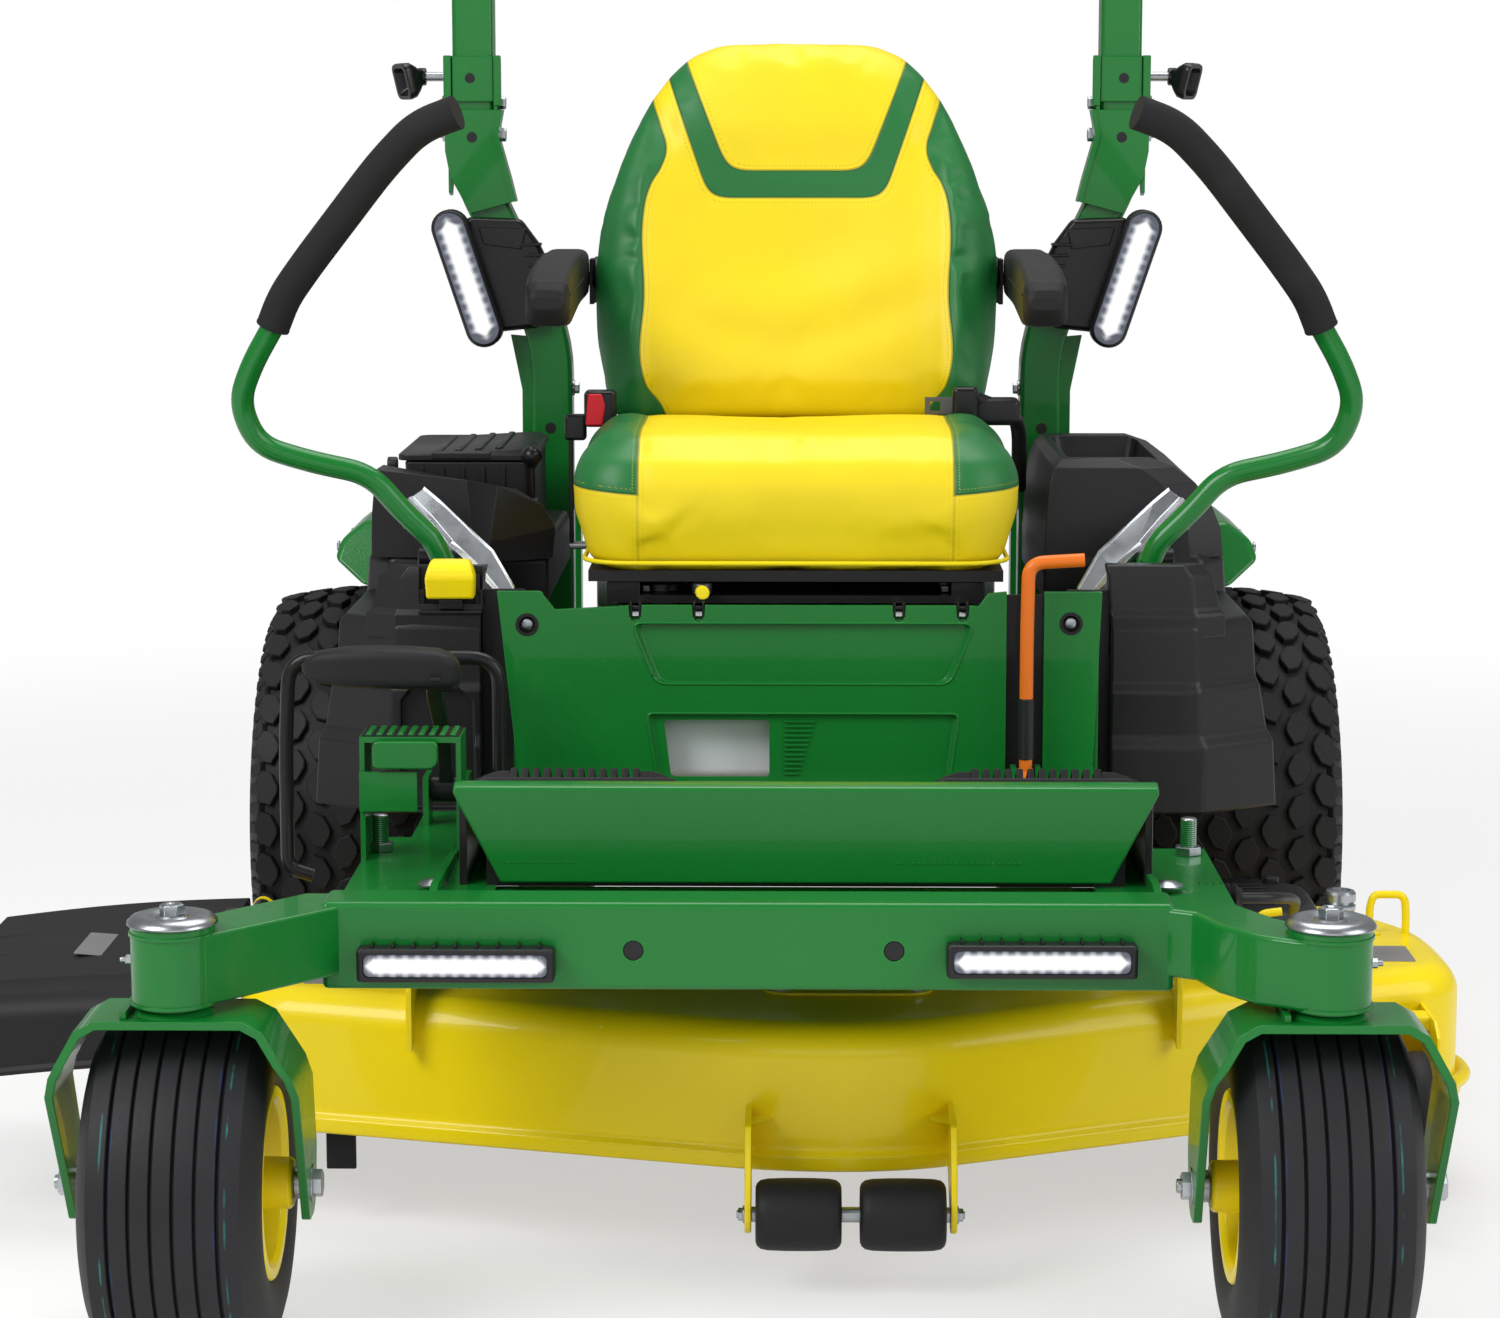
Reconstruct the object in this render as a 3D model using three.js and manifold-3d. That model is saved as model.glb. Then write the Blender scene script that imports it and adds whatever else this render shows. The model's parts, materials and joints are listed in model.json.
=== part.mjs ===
import * as THREE from 'three'
import Module from 'manifold-3d'

const wasm = await Module()
wasm.setup()

// Driving sizes, in millimetres. Y = 0 is the caster pivot line and Z = 0 the ground;
// the finished group is moved so that its box is centred above the origin.
const frontRadius = 165
const frontWidth = 165
const casterTrail = 65
const casterSpan = 1040
const frontAxleShift = -40
const barrelRadius = 38
const barrelBottom = 352
const barrelTop = 425
const forkHalf = 115
const rearRadius = 280
const rearWidth = 245
const rearRimRadius = 158
const rearAxleY = 1300
const machineHalf = 656
const railX = 315
const railWidth = 50
const railBottom = 345
const railTop = 405
const floorHalf = 340
const floorTop = 507
const panelY = 660
const panelTop = 640
const seatHalf = 254
const seatFront = 700
const seatPanZ = 646
const seatLegY = 985
const backHalf = 238
const cushionTop = 800
const backTop = 1235
const ropsTube = 51
const ropsHalf = 405
const ropsFootX = 309
const ropsHingeZ = 1160
const ropsTop = 1800
const deckLeft = -585
const deckRight = 712
const deckBottom = 105
const deckTop = 250
const bladeReach = 205
const chuteReach = 300
const leverRadius = 12.5
const gripRadius = 18.5
const wheelSides = 20
const gap = 0.4

const ropsY = rearAxleY + 120
const tailY = rearAxleY + 579
const casterX = { left: frontAxleShift - casterSpan / 2, right: frontAxleShift + casterSpan / 2 }

const colours = {
  green: [0x1f8237, 0.35, 0.1],
  yellow: [0xf2d31b, 0.4, 0.05],
  black: [0x1d1c1e, 0.55, 0],
  rubber: [0x151515, 0.85, 0],
  zinc: [0xb9bec2, 0.35, 0.9],
  steel: [0x6d7073, 0.45, 0.8],
  white: [0xe9e9e4, 0.5, 0],
  orange: [0xe27a24, 0.45, 0.1],
  lens: [0xf4f8ff, 0.15, 0],
}

const machine = new THREE.Group()
machine.name = 'zero_turn_mower'

// Joins equal points, turns the shape to face out and hands it to the solid library.
function solidOf(triangles) {
  const points = []
  const found = new Map()
  let faces = []
  let volume = 0
  for (const tri of triangles) {
    const ids = tri.map((p) => {
      const key = p.map((v) => Math.round(v * 2000)).join(',')
      if (!found.has(key)) {
        found.set(key, points.length)
        points.push(p)
      }
      return found.get(key)
    })
    if (ids[0] !== ids[1] && ids[1] !== ids[2] && ids[0] !== ids[2]) faces.push(ids)
  }
  for (const [a, b, c] of faces) {
    const [p, q, r] = [points[a], points[b], points[c]]
    volume += p[0] * (q[1] * r[2] - q[2] * r[1])
    volume += p[1] * (q[2] * r[0] - q[0] * r[2])
    volume += p[2] * (q[0] * r[1] - q[1] * r[0])
  }
  if (volume < 0) faces = faces.map(([a, b, c]) => [a, c, b])
  const vertProperties = new Float32Array(points.flat())
  const triVerts = new Uint32Array(faces.flat())
  return new wasm.Manifold(new wasm.Mesh({ numProp: 3, vertProperties, triVerts }))
}

function trianglesOf(geometry) {
  const flat = geometry.index ? geometry.toNonIndexed() : geometry
  const spot = flat.attributes.position
  const list = []
  for (let i = 0; i < spot.count; i += 3) {
    list.push([0, 1, 2].map((k) => [spot.getX(i + k), spot.getY(i + k), spot.getZ(i + k)]))
  }
  return list
}

// Sends a flat outline's (u, v) and its depth w to the three axes.
const place = {
  x: (u, v, w) => [w, u, v],
  y: (u, v, w) => [u, w, v],
  z: (u, v, w) => [u, v, w],
}

function prism(axis, outline, from, to, holes = []) {
  const shape = new THREE.Shape(outline.map(([u, v]) => new THREE.Vector2(u, v)))
  shape.holes = holes.map((h) => new THREE.Path(h.map(([u, v]) => new THREE.Vector2(u, v))))
  const body = new THREE.ExtrudeGeometry(shape, { depth: to - from, bevelEnabled: false, steps: 1 })
  const tris = trianglesOf(body)
  return solidOf(tris.map((tri) => tri.map(([u, v, w]) => place[axis](u, v, w + from))))
}

function box(x0, x1, y0, y1, z0, z1) {
  return prism('z', [[x0, y0], [x1, y0], [x1, y1], [x0, y1]], z0, z1)
}

function circle(cu, cv, r, n) {
  return Array.from({ length: n }, (_, i) => {
    const a = (2 * Math.PI * (i + 0.5)) / n
    return [cu + r * Math.cos(a), cv + r * Math.sin(a)]
  })
}

function rod(axis, cu, cv, r, from, to, n = 12) {
  return prism(axis, circle(cu, cv, r, n), from, to)
}

// A hole just large enough for a turning shaft of the given radius.
function boreFor(r, n = 12) {
  return (r + 0.05) / Math.cos(Math.PI / n)
}

// Turns a closed (w, r) profile about a line along the given axis.
function turned(axis, cu, cv, profile, n) {
  const lathe = new THREE.LatheGeometry(profile.map(([w, r]) => new THREE.Vector2(r, w)), n)
  const tris = trianglesOf(lathe)
  return solidOf(tris.map((tri) => tri.map(([a, w, b]) => place[axis](cu + a, cv + b, w))))
}

// Joins rings of equal point count, with flat ends.
function loft(rings) {
  const tris = []
  const n = rings[0].length
  for (let k = 0; k + 1 < rings.length; k++) {
    for (let i = 0; i < n; i++) {
      const j = (i + 1) % n
      tris.push([rings[k][i], rings[k][j], rings[k + 1][j]])
      tris.push([rings[k][i], rings[k + 1][j], rings[k + 1][i]])
    }
  }
  const last = rings[rings.length - 1]
  for (let i = 1; i + 1 < n; i++) {
    tris.push([rings[0][0], rings[0][i + 1], rings[0][i]])
    tris.push([last[0], last[i], last[i + 1]])
  }
  return solidOf(tris)
}

function rectRing(x0, x1, y0, y1, z) {
  return [[x0, y0, z], [x1, y0, z], [x1, y1, z], [x0, y1, z]]
}

// A rounded rectangle ring at one height, r being the corner radius.
function roundRing(x0, x1, y0, y1, r, z) {
  const corners = [[x1 - r, y1 - r, 0], [x0 + r, y1 - r, 1], [x0 + r, y0 + r, 2], [x1 - r, y0 + r, 3]]
  const ring = []
  for (const [cx, cy, q] of corners) {
    for (let i = 0; i <= 3; i++) {
      const a = (Math.PI / 2) * (q + i / 3)
      ring.push([cx + r * Math.cos(a), cy + r * Math.sin(a), z])
    }
  }
  return ring
}

// A bent strip of constant thickness along a path of (u, v) points.
function strip(points, thickness) {
  const left = []
  const right = []
  points.forEach((p, i) => {
    const before = points[Math.max(i - 1, 0)]
    const after = points[Math.min(i + 1, points.length - 1)]
    const inDir = new THREE.Vector2(p[0] - before[0], p[1] - before[1]).normalize()
    const outDir = new THREE.Vector2(after[0] - p[0], after[1] - p[1]).normalize()
    const along = inDir.clone().add(outDir).normalize()
    const side = new THREE.Vector2(-along.y, along.x)
    const reach = i === 0 || i === points.length - 1 ? 1 : 1 / Math.max(along.dot(outDir), 0.4)
    const half = (thickness / 2) * reach
    left.push([p[0] + side.x * half, p[1] + side.y * half])
    right.unshift([p[0] - side.x * half, p[1] - side.y * half])
  })
  return left.concat(right)
}

// A round bar bent along a smooth path.
function bentRod(points, r, n, steps) {
  const path = new THREE.CatmullRomCurve3(points.map((p) => new THREE.Vector3(...p)), false, 'centripetal')
  const shape = new THREE.Shape(circle(0, 0, r, n).map(([u, v]) => new THREE.Vector2(u, v)))
  const body = new THREE.ExtrudeGeometry(shape, { steps, bevelEnabled: false, extrudePath: path })
  return solidOf(trianglesOf(body))
}

function fuse(...solids) {
  return solids.reduce((a, b) => a.add(b))
}

function cut(base, ...tools) {
  return tools.reduce((a, b) => a.subtract(b), base)
}

function piece(name, solid, colour) {
  const mesh = solid.getMesh()
  const spots = []
  for (const id of mesh.triVerts) {
    const at = id * mesh.numProp
    spots.push(mesh.vertProperties[at], mesh.vertProperties[at + 1], mesh.vertProperties[at + 2])
  }
  const geometry = new THREE.BufferGeometry()
  geometry.setAttribute('position', new THREE.Float32BufferAttribute(spots, 3))
  geometry.computeVertexNormals()
  const [color, roughness, metalness] = colours[colour]
  const material = new THREE.MeshStandardMaterial({ color, roughness, metalness })
  const node = new THREE.Mesh(geometry, material)
  node.name = name
  machine.add(node)
}

const sides = [['left', -1], ['right', 1]]

// Low and high value of a span mirrored to one side.
function span(side, near, far) {
  return side < 0 ? [-far, -near] : [near, far]
}

function sideBox(side, near, far, y0, y1, z0, z1) {
  const [x0, x1] = span(side, near, far)
  return box(x0, x1, y0, y1, z0, z1)
}

// ---- front axle and casters ----
const beamFront = 100
const beamBack = 160
const beamLeft = frontAxleShift - 400
const beamRight = frontAxleShift + 392
const spindleRadius = 12.7

function casterArm(pivot, side) {
  const inward = -side
  const outline = [
    [pivot - inward * 12, -26],
    [pivot + inward * 26, -26],
    [pivot + inward * 138, beamFront + 6],
    [pivot + inward * 138, beamBack],
    [pivot + inward * 96, beamBack],
    [pivot - inward * 26, 12],
  ]
  return prism('z', outline, barrelBottom, barrelTop - 6)
}

const beam = box(beamLeft, beamRight, beamFront, beamBack, 340, 423)
const barrels = Object.values(casterX).map((x) => rod('z', x, 0, barrelRadius, barrelBottom, barrelTop, 24))
const barrelBores = Object.values(casterX).map((x) => {
  return rod('z', x, 0, boreFor(spindleRadius, 20), barrelBottom - 5, barrelTop + 5, 20)
})
const arms = sides.map(([key, side]) => casterArm(casterX[key], side))
const beamHoles = [frontAxleShift - 110, frontAxleShift + 132].map((x) => {
  return rod('y', x, 378, 9, beamFront - 5, beamBack + 5, 12)
})
const beamCore = box(beamLeft + 26, beamRight - 26, beamFront + 5, beamBack - 5, 345, 418)
piece('front_axle', cut(fuse(beam, ...barrels, ...arms), ...barrelBores, ...beamHoles, beamCore), 'green')

const legTilt = [
  [-42, 360], [42, 360], [58, 290], [94, 185], [92, 145], [70, 133], [48, 142], [-20, 262], [-42, 300],
]
const axleZ = frontRadius

for (const [key, side] of sides) {
  const x = casterX[key]
  const bend = [
    [x - forkHalf + 7, 132],
    [x - forkHalf + 4, 286],
    [x - 72, 341],
    [x + 72, 341],
    [x + forkHalf - 4, 286],
    [x + forkHalf - 7, 132],
  ]
  const plate = prism('y', strip(bend, 8), -60, 120).intersect(prism('x', legTilt, x - 200, x + 200))
  const collar = rod('z', x, 0, 26, 340, barrelBottom - gap)
  const spindle = rod('z', x, 0, spindleRadius, 343, barrelTop + 6)
  const cap = turned('z', x, 0, [
    [barrelTop + gap, 0], [barrelTop + gap, 40.5], [barrelTop + 5, 40.5], [barrelTop + 9, 34],
    [barrelTop + 6.5, 22], [barrelTop + 8, 15], [barrelTop + 8, 0],
  ], 20)
  const bolt = rod('z', x, 0, 10.5, barrelTop + 7, barrelTop + 19, 6)
  const axle = rod('x', casterTrail, axleZ, 9, x - 126, x + 126)
  const nuts = fuse(
    rod('x', casterTrail, axleZ, 15, x - 124, x - forkHalf + 6, 6),
    rod('x', casterTrail, axleZ, 15, x + forkHalf - 6, x + 124, 6),
  )
  const spacers = fuse(
    rod('x', casterTrail, axleZ, 14, x - forkHalf + 8, x - 96.5, 12),
    rod('x', casterTrail, axleZ, 14, x + 96.5, x + forkHalf - 8, 12),
  )
  piece(`fork_${key}`, fuse(plate, collar, spindle, cap, bolt, axle, nuts, spacers), 'green')

  const half = frontWidth / 2
  const r = frontRadius
  const tread = []
  const ribs = 5
  const treadHalf = half - 16
  for (let i = 0; i < ribs; i++) {
    const w0 = -treadHalf + (2 * treadHalf * i) / ribs
    const w1 = -treadHalf + (2 * treadHalf * (i + 1)) / ribs
    const crown0 = r - 7 * (w0 / treadHalf) ** 2
    const crown1 = r - 7 * (w1 / treadHalf) ** 2
    tread.push([x + w0 + (i > 0 ? 3.5 : 0), crown0])
    tread.push([x + w1 - (i + 1 < ribs ? 3.5 : 0), crown1])
    if (i + 1 < ribs) tread.push([x + w1, crown1 - 4])
  }
  const tyreProfile = [
    [x - 70, 88], [x - half + 2, 104], [x - half, 125], [x - half + 6, 143],
    ...tread,
    [x + half - 6, 143], [x + half, 125], [x + half - 2, 104], [x + 70, 88], [x - 70, 88],
  ]
  piece(`caster_tyre_${key}`, turned('x', casterTrail, axleZ, tyreProfile, wheelSides), 'rubber')

  const bore = boreFor(9, wheelSides)
  const rimProfile = [
    [x - 96, bore], [x - 96, 30], [x - 30, 30], [x - 22, 62], [x - 60, 72], [x - 77, 78], [x - 77, 90],
    [x - 73, 90], [x - 69.5, 87.4], [x + 69.5, 87.4], [x + 73, 90], [x + 77, 90], [x + 77, 78], [x + 60, 72],
    [x + 22, 62], [x + 30, 30], [x + 96, 30], [x + 96, bore], [x - 96, bore],
  ]
  piece(`caster_rim_${key}`, turned('x', casterTrail, axleZ, rimProfile, wheelSides), 'yellow')
}

// ---- rear wheels and hub motors ----
const rearInner = machineHalf - rearWidth
const rearMid = machineHalf - rearWidth / 2
const axleTube = 22

for (const [key, side] of sides) {
  const half = rearWidth / 2
  const c = side * rearMid
  const carcass = rearRadius - 12
  const seatR = rearRimRadius
  const wall = carcass - seatR
  const profile = [
    [c - 98, seatR], [c - half + 3, seatR + 20], [c - half, seatR + wall * 0.52], [c - half + 10, seatR + wall * 0.8],
    [c - half + 26, carcass - 5], [c, carcass], [c + half - 26, carcass - 5],
    [c + half - 10, seatR + wall * 0.8], [c + half, seatR + wall * 0.52], [c + half - 3, seatR + 20],
    [c + 98, seatR], [c - 98, seatR],
  ]
  let tyre = turned('x', rearAxleY, rearRadius, profile, wheelSides)
  const lugs = 12
  for (let i = 0; i < lugs; i++) {
    for (const row of [-1, 1]) {
      const turn = (360 * (i + (row > 0 ? 0.5 : 0))) / lugs
      const hex = circle(c + row * 46, rearAxleY, 34, 6)
      const lug = prism('z', hex, rearRadius + carcass - 14, 2 * rearRadius)
      const moved = lug.translate([-c, -rearAxleY, -rearRadius]).rotate([turn, 0, 0])
      tyre = tyre.add(moved.translate([c, rearAxleY, rearRadius]))
    }
  }
  piece(`rear_tyre_${key}`, tyre, 'rubber')

  const bore = boreFor(axleTube, wheelSides)
  const out = side
  const rim = [
    [c - out * 92, bore], [c - out * 92, 60], [c + out * 20, 60], [c + out * 26, 110], [c - out * 40, 132],
    [c - out * 100, seatR - 18], [c - out * 109, seatR + 4], [c - out * 104, seatR + 4], [c - out * 98.5, seatR - 0.7],
    [c + out * 98.5, seatR - 0.7], [c + out * 104, seatR + 4], [c + out * 109, seatR + 4], [c + out * 100, seatR - 12],
    [c + out * 60, seatR - 20], [c + out * 44, 110], [c + out * 38, 60], [c + out * 64, 42], [c + out * 64, bore],
    [c - out * 92, bore],
  ]
  piece(`rear_rim_${key}`, turned('x', rearAxleY, rearRadius, rim, wheelSides), 'yellow')

  const [a0, a1] = span(side, rearInner - 12, rearMid + 58)
  const [b0, b1] = span(side, 300, rearInner - 11)
  const [g0, g1] = span(side, 250, 345)
  const shaft = rod('x', rearAxleY, rearRadius, axleTube, a0, a1)
  const motor = rod('x', rearAxleY, rearRadius, 60, b0, b1, 16)
  const gearbox = box(g0, g1, rearAxleY - 130, rearAxleY + 110, 190, railBottom - gap)
  piece(`transaxle_${key}`, fuse(shaft, motor, gearbox), 'steel')
}

// ---- main frame ----
const railIn = railX - railWidth / 2
const railOut = railX + railWidth / 2
const railEnd = tailY - 99
const frameParts = []
for (const [, side] of sides) {
  frameParts.push(sideBox(side, railIn, railOut, beamBack + gap, railEnd, railBottom, railTop))
}
for (const y of [230, 720, 1060, railEnd - 60]) {
  frameParts.push(box(-railIn - 1, railIn + 1, y, y + 50, railBottom + 5, railTop - 5))
}
frameParts.push(box(-railIn - 5, railIn + 5, ropsY - 40, railEnd - 40, railTop - 9, railTop - 1))
// floor brackets outboard of the rails
frameParts.push(box(-438, -railOut + 5, beamBack + gap, 520, 394, 400))
frameParts.push(box(railOut - 5, 420, beamBack + gap, 470, 394, 400))
frameParts.push(box(-400, -railOut + 5, 515, 660, 394, 400))
frameParts.push(rod('z', -424, 450, 8, 398, 436, 12))
frameParts.push(rod('z', 400, 440, 8, 398, 436, 12))
// step bracket in front of the lift pedal
frameParts.push(box(-438, -433, 398, 456, 396, 527))
frameParts.push(box(-341, -336, 398, 456, 396, 527))
frameParts.push(box(-438, -336, 398, 456, 521, 527))
frameParts.push(box(-438, -380, 392, 398.5, 452, 492))
// pedal ears with their pin
const pedalX = -370
const pedalY = 602
const pedalZ = 436
for (const x of [pedalX - 24, pedalX + 18]) {
  frameParts.push(box(x, x + 6, pedalY - 22, pedalY + 22, 397, pedalZ + 16))
}
frameParts.push(rod('x', pedalY, pedalZ, 5, pedalX - 22, pedalX + 22, 12))
// brake lever ears
const brakeX = 246
const brakeY = 630
const brakeZ = 442
for (const x of [brakeX - 16, brakeX + 10]) {
  frameParts.push(box(x, x + 6, brakeY - 14, brakeY + 14, 416.5, brakeZ + 14))
}
frameParts.push(rod('x', brakeY, brakeZ, 5, brakeX - 14, brakeX + 14, 12))
frameParts.push(box(brakeX - 16, brakeX + 16, brakeY - 14, 722, 412, 418))
frameParts.push(box(brakeX - 16, brakeX + 16, 714, 724, 395, 418))
const frameCores = sides.map(([, side]) => {
  return sideBox(side, railIn + 4, railOut - 4, beamBack + 40, railEnd + 5, railBottom + 4, railTop - 4)
})
for (const y of [230, 720, 1060, railEnd - 60]) {
  frameCores.push(box(-railIn - 6, railIn + 6, y + 4, y + 46, railBottom + 9, railTop - 13))
}
piece('main_frame', cut(fuse(...frameParts), ...frameCores), 'green')

// ---- foot platform and pads ----
const lipY = 250
const floorShift = 10
const floorPath = [
  [lipY + 2, 410], [lipY + 2, floorTop - 6], [lipY + 12, floorTop - 2], [lipY + 26, floorTop - 4],
  [440, 414], [612, 414],
]
const floorSheet = prism('x', strip(floorPath, 5), -floorHalf + floorShift, floorHalf + floorShift)
const lipCuts = sides.map(([, side]) => {
  const edge = floorShift + side * floorHalf
  const corner = [[edge - side * 50, 400], [edge + side * 5, 400], [edge + side * 5, floorTop - 10], [edge, floorTop - 10]]
  return prism('y', corner, lipY - 20, lipY + 7)
})
piece('footplate', cut(floorSheet, ...lipCuts), 'green')

function footPad(x0, x1) {
  const slope = (414 - floorTop + 4) / (440 - lipY - 26)
  const at = (y) => floorTop - 4 + (y - lipY - 26) * slope + 3.4
  const profile = [[lipY + 32, at(lipY + 32)], [420, at(420)], [420, at(420) + 12], [lipY + 32, at(lipY + 32) + 12]]
  let pad = prism('x', profile, x0, x1)
  const count = 9
  for (let i = 0; i < count; i++) {
    const c = x0 + ((x1 - x0) * (i + 0.5)) / count
    const rib = [[lipY + 34, at(lipY + 34) + 8], [415, at(415) + 8], [412, at(412) + 22], [lipY + 36, at(lipY + 36) + 22]]
    pad = pad.add(prism('x', rib, c - 5, c + 5))
  }
  return pad
}
piece('foot_pad_left', footPad(-313, -117), 'rubber')
piece('foot_pad_right', footPad(137, 333), 'rubber')

// ---- green front panel, fuel tank ----
const panelOutline = [
  [-308, 421], [-300, 452], [-320, panelTop], [-270, panelTop], [-262, panelTop - 14], [-180, panelTop - 12],
  [-172, panelTop - 20], [-166, panelTop - 12], [-112, panelTop - 12], [-104, panelTop - 20], [-98, panelTop - 12],
  [104, panelTop - 12], [110, panelTop - 20], [118, panelTop - 12], [172, panelTop - 12], [178, panelTop - 20],
  [186, panelTop - 12], [226, panelTop - 12], [226, 462], [266, 462], [266, panelTop], [328, panelTop],
  [322, 452], [328, 421],
]
const windowHole = [[-142, 440], [-22, 440], [-22, 505], [-142, 505]]
const panelBoss = [[-305, 608], [318, 608]].map(([x, z]) => rod('y', x * 0.95, z, 10, panelY - 1, panelY + 3, 12))
const panel = cut(
  prism('y', panelOutline, panelY, panelY + 8, [windowHole]),
  prism('y', [[-156, 540], [172, 540], [192, 604], [-177, 604]], panelY - 1, panelY + 3),
  prism('y', [[-160, 436], [178, 436], [170, 509], [-152, 509]], panelY - 1, panelY + 3),
  ...panelBoss,
)
const panelReturn = fuse(
  box(-262, 222, panelY + 5, panelY + 32, panelTop - 36, panelTop - 30),
  box(-306, -300, panelY + 5, panelY + 42, 440, panelTop - 6),
)
piece('front_panel', fuse(panel, panelReturn), 'green')

const tankRings = [
  roundRing(-190, 190, panelY + 52, seatLegY - 30, 24, 426),
  roundRing(-205, 205, panelY + 44, seatLegY - 20, 30, 440),
  roundRing(-205, 205, panelY + 44, seatLegY - 20, 30, 590),
  roundRing(-190, 190, panelY + 52, seatLegY - 30, 24, 606),
]
piece('fuel_tank', loft(tankRings), 'white')

// ---- fenders, console, latch, throttle ----
const fenderBack = rearAxleY + 60
const fenderIn = seatHalf + 31
const throttleX = -fenderIn - 22
const throttleY = 1010

for (const [key, side] of sides) {
  const ring = (near, far, y0, y1, z) => rectRing(...span(side, near, far), y0, y1, z)
  const tower = loft([ring(343, 530, 722, 980, 388), ring(343, 500, 722, 980, 600)])
  const towerCore = loft([ring(350, 523, 729, 985, 380), ring(350, 493, 729, 985, 590)])
  const cowl = loft([ring(343, 446, 716, 760, 560), ring(334, 428, 722, 752, side < 0 ? 654 : 660)])
  const lower = loft([
    ring(fenderIn, 500, 955, fenderBack, 588), ring(fenderIn, 495, 955, fenderBack, 640),
    ring(fenderIn + 3, 480, 965, fenderBack, 652),
  ])
  const hump = loft([ring(fenderIn, 492, 958, 1046, 645), ring(fenderIn + 7, 474, 975, 1040, 738)])
  const backHump = loft([ring(fenderIn, 490, 958, fenderBack, 645), ring(fenderIn + 15, 462, 985, fenderBack - 40, 752)])
  const core = sideBox(side, fenderIn + 7, 484, 962, fenderBack - 7, 580, 640)
  const trim = loft([ring(470, 520, 1100, fenderBack, 592), ring(470, 555, 1120, fenderBack, 620), ring(478, 520, 1140, fenderBack, 662)])
  let body = fuse(cut(tower, towerCore), lower, cowl, side < 0 ? hump : backHump, trim)
  body = cut(body, core)
  body = cut(body, sideBox(side, 350, 440, 764, 950, 590, 800))
  if (side < 0) {
    body = cut(body, box(-404, -346, 700, 732, 622, 684))
    body = cut(body, box(throttleX - 9, throttleX + 9, throttleY - 38, throttleY + 34, 682, 780))
  }
  piece(`fender_${key}`, body, 'black')
}

const consoleY0 = 1052
const consoleY1 = fenderBack - 40
const consoleTop = 742
const consoleIn = fenderIn + 27
piece('console_box', cut(
  box(-474, -consoleIn, consoleY0, consoleY1, 653, consoleTop),
  box(-468, -consoleIn - 6, consoleY0 + 6, consoleY1 - 6, 659, consoleTop + 10),
), 'black')
piece('console_lid', loft([
  rectRing(-478, -consoleIn + 4, consoleY0 - 2, consoleY1, consoleTop + 1),
  rectRing(-478, -consoleIn + 4, consoleY0 - 2, consoleY1, consoleTop + 10),
  rectRing(-470, -consoleIn - 4, consoleY0 + 10, consoleY1 - 8, consoleTop + 18),
]), 'black')

const latchBody = loft([
  rectRing(-402, -348, 705, 730, 625),
  rectRing(-402, -348, 700, 730, 650),
  rectRing(-398, -352, 708, 730, 667),
])
piece('yellow_latch', latchBody, 'yellow')

piece('throttle_lever', fuse(
  rod('x', throttleY, 694, 10, throttleX - 7, throttleX + 7),
  rod('z', throttleX, throttleY, 4, 694, 748, 8),
  turned('z', throttleX, throttleY, [[742, 0], [744, 8], [752, 12.5], [761, 8], [764, 0]], 12),
), 'black')

// ---- steering levers ----
const hipY = 856
const hipZ = 652
const hipX = 392

for (const [key, side] of sides) {
  const [x0, x1] = span(side, 346, 434)
  // leaning zinc bracket that rocks fore and aft
  const inner = side * 352
  const outer = side * 428
  const strap = loft([
    [[inner, 800, 634], [inner, 806, 634], [outer, 886, 724], [outer, 880, 724]],
    [[inner, 794, 610], [inner, 800, 610], [outer, 880, 700], [outer, 874, 700]],
  ])
  const hub = rod('x', hipY, hipZ, 15, x0 + 4, x1 - 4, 14)
  const boss = rod('y', side * hipX, hipZ, 9, hipY - 33.5, hipY - 8, 12)
  piece(`lever_bracket_${key}`, fuse(hub, strap, boss), 'zinc')

  const s = side
  const tube = [
    [s * hipX, hipY - 50, hipZ + 2], [s * 402, 804, 678], [s * 436, 802, 711], [s * 462, 799, 742],
    [s * 500, 794, 760], [s * 560, 786, 774], [s * 597, 778, 800], [s * 606, 768, 836], [s * 588, 752, 880], [s * 566, 742, 917],
  ]
  const grip = [
    [s * 564.6, 741.2, 921], [s * 552, 736, 950], [s * 526, 724, 986], [s * 480, 704, 1044], [s * 440, 690, 1092],
    [s * 418, 684, 1118], [s * 392, 678, 1136], [s * 359, 672, 1147],
  ]
  piece(`lever_${key}`, fuse(
    bentRod(tube, leverRadius, 8, 24),
    rod('y', s * hipX, hipZ, 9, hipY - 56, hipY - 34),
  ), 'green')
  piece(`grip_${key}`, bentRod(grip, gripRadius, 10, 14), 'rubber')
}

// ---- seat ----
piece('seat_base', fuse(
  box(-205, 205, 735, 1110, 618, 626),
  box(-205, -170, 735, 1110, 624, 641),
  box(170, 205, 735, 1110, 624, 641),
  box(-150, -142, seatLegY + 5, seatLegY + 65, railTop + 6, 622),
  box(142, 150, seatLegY + 5, seatLegY + 65, railTop + 6, 622),
  box(-205, 205, seatLegY, seatLegY + 71, railTop + gap, railTop + 10),
), 'black')

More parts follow.
